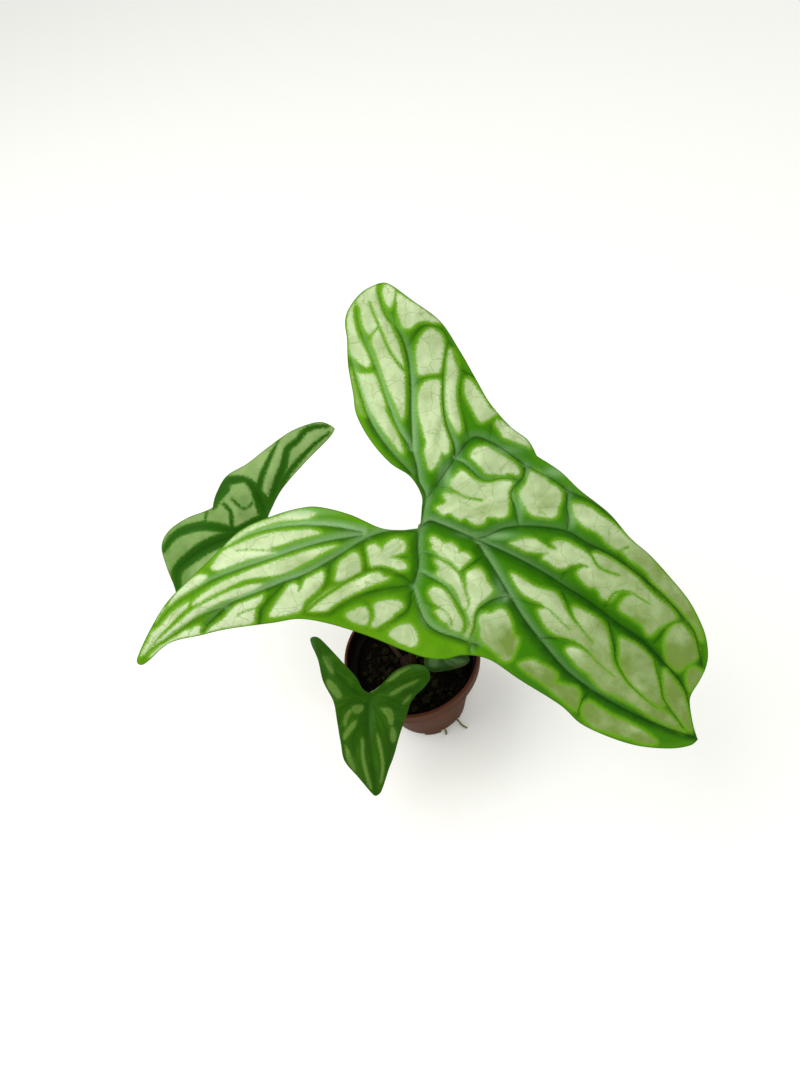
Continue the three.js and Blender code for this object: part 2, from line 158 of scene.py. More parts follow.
def newPiece(name, vertices, faces, materials, faceMaterial=None, sharp=40):
    mesh = bpy.data.meshes.new(name)
    mesh.from_pydata(np.asarray(vertices, float).tolist(), [], [list(face) for face in faces])
    mesh.update()
    for material in materials:
        mesh.materials.append(material)
    if faceMaterial is not None:
        mesh.polygons.foreach_set("material_index", np.asarray(faceMaterial, np.int32))
    mesh.polygons.foreach_set("use_smooth", np.ones(len(mesh.polygons), bool))
    mesh.set_sharp_from_angle(angle=math.radians(sharp))
    piece = bpy.data.objects.new(name, mesh)
    bpy.context.scene.collection.objects.link(piece)
    return piece


def pointOutwards(piece):
    # Merges doubles, then turns every face of the closed shell outwards
    work = bmesh.new()
    work.from_mesh(piece.data)
    bmesh.ops.remove_doubles(work, verts=work.verts, dist=1e-7)
    bmesh.ops.recalc_face_normals(work, faces=work.faces)
    work.to_mesh(piece.data)
    work.free()


def addAttribute(piece, name, values):
    values = np.asarray(values, np.float32)
    kind, key = ("FLOAT", "value") if values.ndim == 1 else ("FLOAT_VECTOR", "vector")
    attribute = piece.data.attributes.new(name, kind, "POINT")
    attribute.data.foreach_set(key, values.ravel())


def belongs(piece, slot, *nodes):
    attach(piece, "root")
    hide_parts(*nodes)


def gridFaces(rows, columns, wrap=False):
    # Quads of a rows x columns grid of vertices, closed round its columns where wrap is set
    across = columns if wrap else columns - 1
    row, column = np.meshgrid(np.arange(rows - 1), np.arange(across), indexing="ij")
    right = (column + 1) % columns
    corners = [row * columns + column, row * columns + right,
               (row + 1) * columns + right, (row + 1) * columns + column]
    return np.stack([corner.ravel() for corner in corners], axis=1)


# Shader boards: Python expressions build the nodes

def colour(red, green, blue):
    srgb = np.array((red, green, blue)) / 255
    linear = np.where(srgb < 0.04045, srgb / 12.92, ((srgb + 0.055) / 1.055) ** 2.4)
    return (*linear.tolist(), 1.0)


class Amount:
    def __init__(self, board, socket):
        self.board = board
        self.socket = socket

    def math(self, operation, *others):
        sockets = dict(enumerate((self, *others)))
        return self.board.node("ShaderNodeMath", {"operation": operation}, sockets)

    def __add__(self, other):
        return self.math("ADD", other)

    def __sub__(self, other):
        return self.math("SUBTRACT", other)

    def __mul__(self, other):
        return self.math("MULTIPLY", other)

    def __truediv__(self, other):
        return self.math("DIVIDE", other)

    def __rsub__(self, other):
        return self.board.node("ShaderNodeMath", {"operation": "SUBTRACT"}, {0: other, 1: self})

    __radd__ = __add__
    __rmul__ = __mul__

    def __abs__(self):
        return self.math("ABSOLUTE")

    def between(self, low, high):
        # Smooth step from 0 at low to 1 at high
        settings = {"interpolation_type": "SMOOTHSTEP"}
        sockets = {0: self, 1: low, 2: high, 3: 0.0, 4: 1.0}
        return self.board.node("ShaderNodeMapRange", settings, sockets)


class Board:
    def __init__(self, name):
        self.material = bpy.data.materials.new(name)
        self.material.use_nodes = True
        self.tree = self.material.node_tree
        self.tree.nodes.clear()

    def node(self, kind, settings=None, sockets=None, out=0):
        made = self.tree.nodes.new(kind)
        for key, value in (settings or {}).items():
            setattr(made, key, value)
        for key, value in (sockets or {}).items():
            if isinstance(value, Amount):
                self.tree.links.new(value.socket, made.inputs[key])
            else:
                made.inputs[key].default_value = value
        return Amount(self, made.outputs[out]) if made.outputs else made

    def attribute(self, name):
        return self.node("ShaderNodeAttribute", {"attribute_name": name}, out="Fac")

    def objectPlace(self):
        return self.node("ShaderNodeTexCoord", out="Object")

    def sheetPlace(self):
        return self.node("ShaderNodeAttribute", {"attribute_name": "sheet"}, out="Vector")

    def noise(self, place, scale, detail=3.0, roughness=0.55):
        sockets = {"Vector": place, "Scale": scale, "Detail": detail, "Roughness": roughness}
        return self.node("ShaderNodeTexNoise", None, sockets, out="Fac")

    def cells(self, place, scale, feature="DISTANCE_TO_EDGE"):
        return self.node("ShaderNodeTexVoronoi", {"feature": feature},
                         {"Vector": place, "Scale": scale}, out="Distance")

    def warp(self, place, scale, amount):
        # Pushes each place aside by a smooth noise, so that straight cells turn wavy
        push = self.node("ShaderNodeTexNoise", None, {"Vector": place, "Scale": scale}, out="Color")
        return self.node("ShaderNodeVectorMath", {"operation": "MULTIPLY_ADD"},
                         {0: push, 1: (amount,) * 3, 2: place})

    def blend(self, factor, first, second):
        sockets = {0: factor, 6: first, 7: second}
        return self.node("ShaderNodeMix", {"data_type": "RGBA"}, sockets, out=2)

    def bump(self, height, strength, distance):
        return self.node("ShaderNodeBump", None,
                         {"Height": height, "Strength": strength, "Distance": distance})

    def finish(self, **sockets):
        names = {key: key.replace("_", " ") for key in sockets}
        shader = self.node("ShaderNodeBsdfPrincipled", None,
                           {names[key]: value for key, value in sockets.items()})
        self.node("ShaderNodeOutputMaterial", None, {"Surface": shader})
        return self.material


# Leaf finishes. Their sheet is drawn in picture units, about half a millimetre each

sheetUnit = 100  # picture units across one unit of the leaf's own pattern


def palette(**tints):
    return {name: colour(*tint) for name, tint in tints.items()}


# Each palette has the silver lit (pale) and in painted shade (paleShaded), and a painted sheen
leafColours = palette(
    pale=(205, 223, 176), paleShaded=(114, 140, 62), fringe=(110, 164, 28), green=(52, 116, 2),
    deep=(26, 76, 1), line=(18, 58, 4), warm=(96, 152, 10), sheen=(146, 184, 130),
    thread=(112, 142, 66), under=(96, 132, 66), underRib=(132, 162, 92), edge=(52, 96, 12),
)
middleColours = palette(
    pale=(142, 172, 104), paleShaded=(96, 134, 60), fringe=(80, 128, 38), green=(38, 90, 8),
    deep=(22, 62, 4), line=(20, 56, 6), warm=(60, 110, 14), sheen=(100, 140, 84),
    thread=(104, 138, 70), under=(82, 118, 54), underRib=(112, 146, 80), edge=(72, 104, 46),
)
smallColours = palette(
    pale=(96, 130, 52), paleShaded=(72, 108, 32), fringe=(52, 94, 14), green=(38, 82, 3),
    deep=(24, 60, 2), line=(24, 58, 3), warm=(72, 122, 24), sheen=(78, 120, 56),
    thread=(78, 112, 38), under=(70, 106, 40), underRib=(98, 132, 62), edge=(46, 82, 18),
)
# The young leaf's own grey-green, darkened all over as painted shadow of the large leaf above
youngShadedColours = palette(
    pale=(88, 118, 72), paleShaded=(66, 98, 48), fringe=(56, 92, 38), green=(44, 80, 28),
    deep=(30, 60, 18), line=(28, 56, 18), warm=(142, 106, 86), sheen=(96, 130, 84),
    thread=(84, 112, 66), under=(70, 106, 40), underRib=(98, 132, 62), edge=(56, 84, 40),
)


def leafTop(name, colours, raggedness, threads, fringe, edge):
    board = Board(name)
    sheet = board.sheetPlace()
    ragged = board.noise(sheet, 34.0, 4.0, 0.7)
    broad = board.noise(sheet, 9.0, 2.0)
    cloud = board.noise(sheet, 4.2, 3.0)
    teeth = board.noise(sheet, 95.0, 2.0, 0.6)
    rough = (ragged - 0.5) * raggedness + (teeth - 0.5) * raggedness * 1.3
    field = board.attribute("field") + rough
    vein = abs(board.attribute("vein")) + (teeth - 0.5) * 0.5
    warm = board.attribute("warm") * (0.5 + ragged * 0.9)
    base = board.blend(warm, colours["green"], colours["warm"])
    # The darker green beside veins: partly the leaf's own, partly painted shade away from the light
    shade = board.attribute("shade") * (0.5 + broad * 0.9)
    base = board.blend(shade, base, colours["deep"])
    # The tone sets the silver between its lit colour and its painted-shade colour
    tone = board.attribute("tone") + (cloud - 0.5) * 0.9
    light = board.blend(tone, colours["paleShaded"], colours["pale"])
    wavy = board.warp(sheet, 10.0, 0.07)
    net = board.cells(wavy, 4.6)
    fine = board.cells(wavy, 22.0)
    mesh = (1 - net.between(0.0, 0.022)) * threads + (1 - fine.between(0.0, 0.07)) * threads * 0.2
    light = board.blend(mesh, light, colours["thread"])
    light = board.blend(broad.between(0.45, 0.85) * 0.25, light, colours["paleShaded"])
    skin = board.blend(field.between(-fringe, 0.2) * 0.8, base, colours["fringe"])
    skin = board.blend(field.between(-0.4 * edge, 0.6 * edge), skin, light)
    # Painted sheen: the light's reflection beside veins and at glints, laid into the colour
    skin = board.blend(board.attribute("sheen") * (0.5 + ragged * 0.9), skin, colours["sheen"])
    line = (1 - vein.between(0.0, 0.9)) * board.attribute("near")
    skin = board.blend(line * 0.6, skin, colours["line"])
    skin = board.blend((1 - board.attribute("margin").between(0.2, 1.4)) * 0.7, skin, colours["edge"])
    roughness = 0.42 + broad * 0.14
    relief = fine.between(0.0, 0.12) * 0.2 + net.between(0.0, 0.04) * 0.3 + ragged * 0.6 + teeth * 0.3
    normal = board.bump(relief, 0.3, 0.0005)
    return board.finish(Base_Color=skin, Roughness=roughness, Normal=normal, Specular_IOR_Level=0.05)


def leafUnder(name, colours):
    board = Board(name)
    sheet = board.sheetPlace()
    broad = board.noise(sheet, 12.0, 3.0)
    fine = board.cells(board.warp(sheet, 14.0, 0.05), 14.0)
    field = board.attribute("field").between(-3.0, 3.0)
    skin = board.blend(field * 0.4, colours["under"], colours["paleShaded"])
    skin = board.blend(broad.between(0.35, 0.8) * 0.35, skin, colours["green"])
    skin = board.blend((1 - fine.between(0.0, 0.06)) * 0.4, skin, colours["underRib"])
    ribs = (1 - abs(board.attribute("vein")).between(0.5, 3.0)) * board.attribute("near")
    skin = board.blend(ribs, skin, colours["underRib"])
    normal = board.bump(1 - fine.between(0.0, 0.08), 0.3, 0.0004)
    return board.finish(Base_Color=skin, Roughness=0.55 + broad * 0.1, Normal=normal,
                        Specular_IOR_Level=0.15)


leafLooks = {  # colours, raggedness of the edges, thread strength, fringe and edge widths
    "silver": (leafColours, 4.5, 0.5, 5.5, 3.0),
    "middle": (middleColours, 5.0, 0.3, 1.8, 2.6),
    "small": (smallColours, 2.6, 0.2, 2.5, 2.2),
    "young": (youngShadedColours, 1.6, 0.1, 2.5, 3.0),
}
leafFinishes = {}
for name, look in leafLooks.items():
    leafFinishes[name] = [leafTop(name + "LeafTop", *look), leafUnder(name + "LeafUnder", look[0])]
print("leaf finishes ready")

# The leaves, drawn as one viewer sees them. The midrib runs from the apex to the joint. Each
# half has its margin from apex to shoulder, from shoulder to lobe tip, and along the sinus.
# Round the joint the blade is flat. A share of each vein's half width cuts the fields.
# Heights are in metres, everything else in picture units

largeLeaf = {
    "node": "blade_large",
    "piece": "largeBlade",
    "depth": 0.4675,
    "rows": (150, 140),
    "columns": 64,
    "underColumns": 22,
    "arch": 0.009,
    "edgeDrop": 0.004,
    "wave": 0.0045,
    "waveCount": 3.2,
    "widthForFullArch": 110,
    "flatJoint": 80,
    "archReach": 11,
    "bandShare": 0.6,
    # Painted glints: soft highlights laid into the colour, as x, y, width, height and strength
    "glints": (
        (497, 536, 18, 4, 0.55), (447, 476, 5, 14, 0.5), (521, 504, 3.5, 14, 0.5),
        (556, 472, 13, 5, 0.5), (506, 450, 16, 5, 0.35), (474, 534, 14, 3, 0.45),
        (572, 519, 4, 9, 0.5), (300, 512, 34, 4, 0.45), (505, 597, 4, 5, 0.5),
        (425, 615, 4, 9, 0.4), (500, 588, 6, 14, 0.3), (441, 470, 4, 16, 0.3),
    ),
    "ribDepth": 0.0014,
    "ribWidth": 7,
    "relief": 1.0,
    "lobes": (((697.8, 739.6), 0.040), ((138, 664), 0.036), ((385, 282.5), 0.018)),
    "midrib": [
        (697.8, 739.6), (686, 716), (674, 690), (659, 666), (639, 640.5), (614, 621), (588, 601.5),
        (563, 585.5), (531, 565.5), (498, 550), (463, 534), (441, 525.5), (429, 523), (420, 528),
    ],
    "halves": [
        {
            "front": [
                (697.8, 739.6), (693.5, 726), (690, 706), (691, 695), (700, 680), (706, 667),
                (708, 652), (704, 630.5), (690, 602), (670, 577), (650, 555), (630, 537.5),
                (609, 513), (580, 490), (560, 471), (537, 456),
            ],
            "back": [
                (537, 456), (528, 440), (510, 426), (490, 403), (476, 379), (459.5, 350),
                (440, 321), (412, 300), (393, 286), (385, 282.5),
            ],
            "sinus": [
                (420, 528), (421.5, 510), (421.3, 495), (410, 476.5), (390, 463), (370, 440),
                (356.5, 415), (353, 393.5), (348, 365), (347, 340), (345, 321), (350, 306.5),
                (362, 292), (377, 284), (385, 282.5),
            ],
        },
        {
            "front": [
                (697.8, 739.6), (690, 745.5), (670, 748.5), (639, 746), (609, 737), (580.5, 723.5),
                (560, 705), (520, 680), (490, 660), (465, 655), (445, 659), (425, 657.5),
                (400, 649),
            ],
            "back": [
                (400, 649), (368, 636), (330, 624), (299.5, 619), (272, 623), (228, 629),
                (200, 635.5), (170, 643), (148.5, 661), (142, 665), (138, 664),
            ],
            "sinus": [
                (420, 528), (411.7, 529), (400, 530), (380, 527.7), (350, 514.5), (320, 507),
                (300, 508), (272, 516), (240, 530.5), (210, 559.5), (170, 598.5), (150.7, 628.5),
                (137.6, 657), (138, 664),
            ],
        },
    ],
    "ribs": [
        [(429, 521.5), (463, 534), (498, 550), (542, 572), (588.5, 601.5), (628, 630.5),
         (673, 671.5), (689, 704)],
        [(480, 548), (493.7, 570), (518, 607.5), (551, 656), (586, 686.5), (630, 712),
         (673, 730.5)],
        [(474, 539), (504.6, 528.5), (550, 528), (598, 548.5), (646, 582), (686.5, 622),
         (701, 660)],
        [(420, 528), (425, 495), (412, 452), (410, 400), (405, 345), (380, 302)],
        [(425, 500), (453.5, 462), (480.4, 438), (525, 465), (581.5, 497), (619.6, 526.5)],
        [(417, 531), (373.5, 535), (320, 567), (266, 590.5), (215, 612), (162.7, 642.8)],
        [(362.6, 536), (302.7, 548.4), (233.5, 572), (177, 602.4)],
        [(418, 530), (418, 567), (411, 585), (418.5, 607.6), (439, 632.6), (476, 645)],
        [(411, 585), (371, 572), (329, 591), (304, 613)],
    ],
}

# Veins of the large leaf: half widths of the green band from start to end, and the line
largeVeins = {
    "midrib": ((9, 8, 7, 5), [
        (420, 528), (429, 521.5), (441, 525), (463, 534), (483, 543), (510, 555), (542, 572),
        (563, 585.5), (588.5, 601.5), (614, 621), (639, 638.5), (662, 661), (681, 682), (689, 704),
        (697, 739)
    ]),
    "lowerRib": ((9, 10, 9, 5), [
        (478, 545), (493.7, 570), (509, 595.5), (523, 618.5), (539.5, 640), (563, 668),
        (586, 686.5), (614, 704), (644, 719), (673, 730.5), (696, 737.5)
    ]),
    "upperRib": ((6, 7, 6, 5), [
        (474, 539), (485, 536.7), (504.6, 528.5), (531, 526.5), (565, 531), (586, 542.7),
        (611.5, 555.5), (634.6, 571.5), (658, 591), (678.5, 612), (693.5, 631.5), (699, 651),
        (701.5, 664.5)
    ]),
    "shoulderRib": ((5, 4, 4), [
        (425, 500), (433, 490), (446.7, 470), (457, 455.5), (469.6, 440), (480.4, 438),
        (502, 448.7), (525, 465), (551.5, 479), (570, 492), (592, 502), (611.5, 518.5),
        (619.6, 526.5)
    ]),
    "lobeRib": ((7, 5), [(420, 528), (423, 510), (425, 495), (418.5, 482), (416, 466), (412, 452)]),
    "lobeLeft": ((4, 3), [
        (412, 451), (398, 430), (387.5, 404), (379.4, 380), (371.3, 358.5), (362.6, 338),
        (356.5, 319.5), (356.5, 307)
    ]),
    "lobeMiddle": ((5, 5, 3), [
        (412, 451), (410.4, 409.6), (410.4, 387), (407.7, 358.5), (399.6, 334), (385, 314),
        (378, 292.5), (378.3, 284.5)
    ]),
    "lobeEdge": ((6, 6, 4), [
        (410, 473), (388.8, 450), (371.3, 424.4), (360.6, 396), (352.5, 366.5), (349.8, 357)
    ]),
    "lobeSpur": ((2, 2), [(375.4, 372), (366, 370.6), (352.5, 358.5)]),
    "lobeInner": ((3, 2), [
        (409, 372), (402, 368), (389, 350), (379.4, 327), (372, 310), (369.7, 302.6)
    ]),
    "lobeTwig": ((2, 1), [(379, 327), (370.7, 335.6), (367.3, 342)]),
    "lobeTip": ((2, 2), [(394, 325), (394, 312.7), (396.3, 303)]),
    "lobeArc": ((3, 3, 4), [
        (409, 345), (412.4, 338), (418.5, 330), (426.5, 325.5), (441.3, 329), (452, 346),
        (460, 368), (475, 377)
    ]),
    "lobeRight": ((5, 4, 3), [
        (454.8, 455.4), (453.5, 444.6), (444.7, 419), (442.7, 389), (444, 362.5), (448.7, 339.6)
    ]),
    "lobeBridge": ((2, 2), [(412.4, 388), (418.5, 381), (428, 377), (441, 376)]),
    "lobeFar": ((3, 2), [(469, 439), (466, 427), (459.5, 400), (461, 374.6), (453.5, 349)]),
    "lobeStub": ((2, 2), [(495, 420), (491, 428.5), (490, 438)]),
    "shoulderA": ((3, 3), [
        (455, 460), (465.4, 465), (479.6, 478.4), (489.4, 481), (500, 478.4), (517.7, 479.5)
    ]),
    "shoulderB": ((4, 4), [
        (525, 467.5), (523, 477), (512.3, 489), (510.6, 497), (514.4, 506.7), (517.7, 524)
    ]),
    "shoulderC": ((2, 2), [(433, 490), (446, 487), (465.4, 497), (481.7, 500)]),
    "crossA": ((4, 4), [(567, 493), (566.5, 508), (568.3, 519.6), (566.5, 529)]),
    "crossB": ((2, 2), [(619.6, 557.7), (618.5, 552), (627.7, 547)]),
    "crossC": ((3, 2), [(686, 621), (670.4, 623.5), (659, 637), (653, 643)]),
    "crossD": ((3, 1), [(604.6, 606), (616, 592), (630, 592), (638, 597), (650, 604)]),
    "crossE": ((3, 2), [(561, 579.6), (565.4, 571.5), (578, 564.6), (586, 567)]),
    "crossF": ((3, 2), [(585, 544), (592, 556.5), (600, 568), (618.5, 575)]),
    "crossG": ((3, 1), [(534, 535), (545, 542.7), (556, 549)]),
    "frontA": ((4, 1), [(563, 593.5), (570, 611.5), (580.4, 627.7), (593, 642.7)]),
    "frontB": ((4, 4, 2), [
        (608, 621), (614, 646), (615.6, 660), (627.7, 682), (647, 700.4), (657.7, 708.5)
    ]),
    "frontC": ((4, 4), [(654, 659), (660.6, 685.4), (663.5, 699), (677, 719), (683, 728)]),
    "frontD": ((4, 2, 1), [(538, 638), (563, 638.7), (581.5, 646), (600, 664.6), (614, 676)]),
    "frontE": ((2, 1, 1), [(510, 596.7), (525, 602), (546, 607.6), (563.5, 624), (570, 629.4)]),
    "frontF": ((4, 4), [(590, 690), (582, 700), (578, 712)]),
    "fanA": ((3, 3, 2), [(420.7, 572.7), (442.5, 584.7), (453.4, 598), (464, 616), (464.3, 632.6)]),
    "fanB": ((2, 2, 1), [(422, 552), (441.4, 559.6), (456.7, 570.5), (463, 583.6), (467.6, 601)]),
    "fanC": ((3, 4), [(459.4, 571.6), (465.4, 569), (476, 560.7), (485, 555)]),
    "fanD": ((5, 4, 3), [
        (508, 596), (491.5, 600.5), (477.4, 611), (474, 627), (469.7, 641), (469.7, 652)
    ]),
    "fanE": ((3, 5, 5), [
        (413, 589), (418.5, 607.6), (426, 623), (439, 632.6), (459, 639), (476, 645)
    ]),
    "fanF": ((1, 1), [(417, 601), (438, 606.5), (449, 616), (452, 625)]),
    "downRib": ((7, 7), [(418, 530), (417, 545), (418, 567), (411.7, 587)]),
    "armA": ((6, 4, 3), [
        (411, 583), (399, 574), (380, 568), (362.6, 573.5), (346, 582), (321, 598.5), (304, 613)
    ]),
    "armB": ((7, 6, 4), [
        (410, 585.5), (385.5, 588.7), (362.6, 594), (343, 603), (329, 612.7), (308, 614)
    ]),
    "armC": ((5, 4), [(363, 541), (365, 557), (366, 566), (362, 573)]),
    "armD": ((6, 5), [(331, 560), (329, 571), (324.5, 587.6)]),
    "armE": ((2, 2), [(365, 602), (370, 608), (371.4, 616), (369, 623.6)]),
    "armF": ((5, 4), [(411, 592), (408.4, 609), (389, 622.5), (380, 628)]),
    "armG": ((4, 1), [(404, 557), (392, 557.7)]),
    "armRoot": ((5, 7, 6, 6), [
        (417, 531), (384, 532.6), (362.6, 541), (342, 554), (308, 573.5), (282.6, 583), (250, 596),
        (231.4, 603.5), (215, 617.7), (203, 631)
    ]),
    "armLow": ((4, 4, 3), [(223.7, 608), (199.7, 616.6), (175.8, 634), (152, 649), (143, 659)]),
    "armMid": ((5, 4, 2), [
        (362.6, 536), (331, 541), (302.7, 548.4), (266, 561), (233.5, 572), (206, 584),
        (177, 602.4), (155, 626)
    ]),
    "armTop": ((6, 3, 2), [
        (361.5, 532.6), (331, 527), (297, 526), (266, 530.5), (239, 540), (228, 547)
    ]),
    "armThread": ((2, 1, 1), [
        (289.6, 574.6), (261, 579.6), (234.6, 586), (210.6, 597), (186.7, 611), (165, 632)
    ]),
    "armFine": ((1, 1), [(282, 552), (250, 549.6), (237, 550.7)]),
    "armHook": ((2, 2), [(208.5, 569.7), (220.5, 576)]),
    "armWide": ((5, 5), [(282.6, 586), (264, 604.6), (259.7, 622)]),
    "armTwig": ((1, 1), [(268, 606), (245.5, 611), (238, 615.5)]),
    "armSpur": ((2, 2), [(296, 582), (301.6, 584.4), (299, 590)]),
}

# Strength of the painted sheen, a light's reflection, beside a vein from its start to its end
veinSheen = {
    "midrib": (0.8, 0.45, 0, 0, 0),
    "lowerRib": (0.6, 0.5, 0.25, 0, 0),
    "upperRib": (0.4, 0, 0),
    "shoulderRib": (0.3, 0.3, 0.1, 0),
    "lobeRib": (0.3, 0.7),
    "lobeLeft": (0.7, 0.7, 0.4, 0),
    "lobeMiddle": (0.9, 0.7, 0.2, 0),
    "lobeEdge": (0.2, 0.6, 0.3),
    "lobeRight": (0.5, 0.2, 0),
    "downRib": (0.4, 0.4),
    "armRoot": (0.4, 0.8, 0.9, 0.4),
    "armMid": (0.7, 0.9, 0.7, 0.2),
    "armTop": (1, 1, 0.6),
    "armLow": (0.5, 0.2),
    "fanE": (0.7, 0.7, 0.3),
    "fanA": (0.7, 0.2),
    "fanB": (0.4, 0),
    "fanD": (0.3, 0.3),
    "shoulderA": (0.7, 0.3, 0),
    "shoulderB": (0.5, 0.4),
    "crossA": (0.3, 0.3),
}

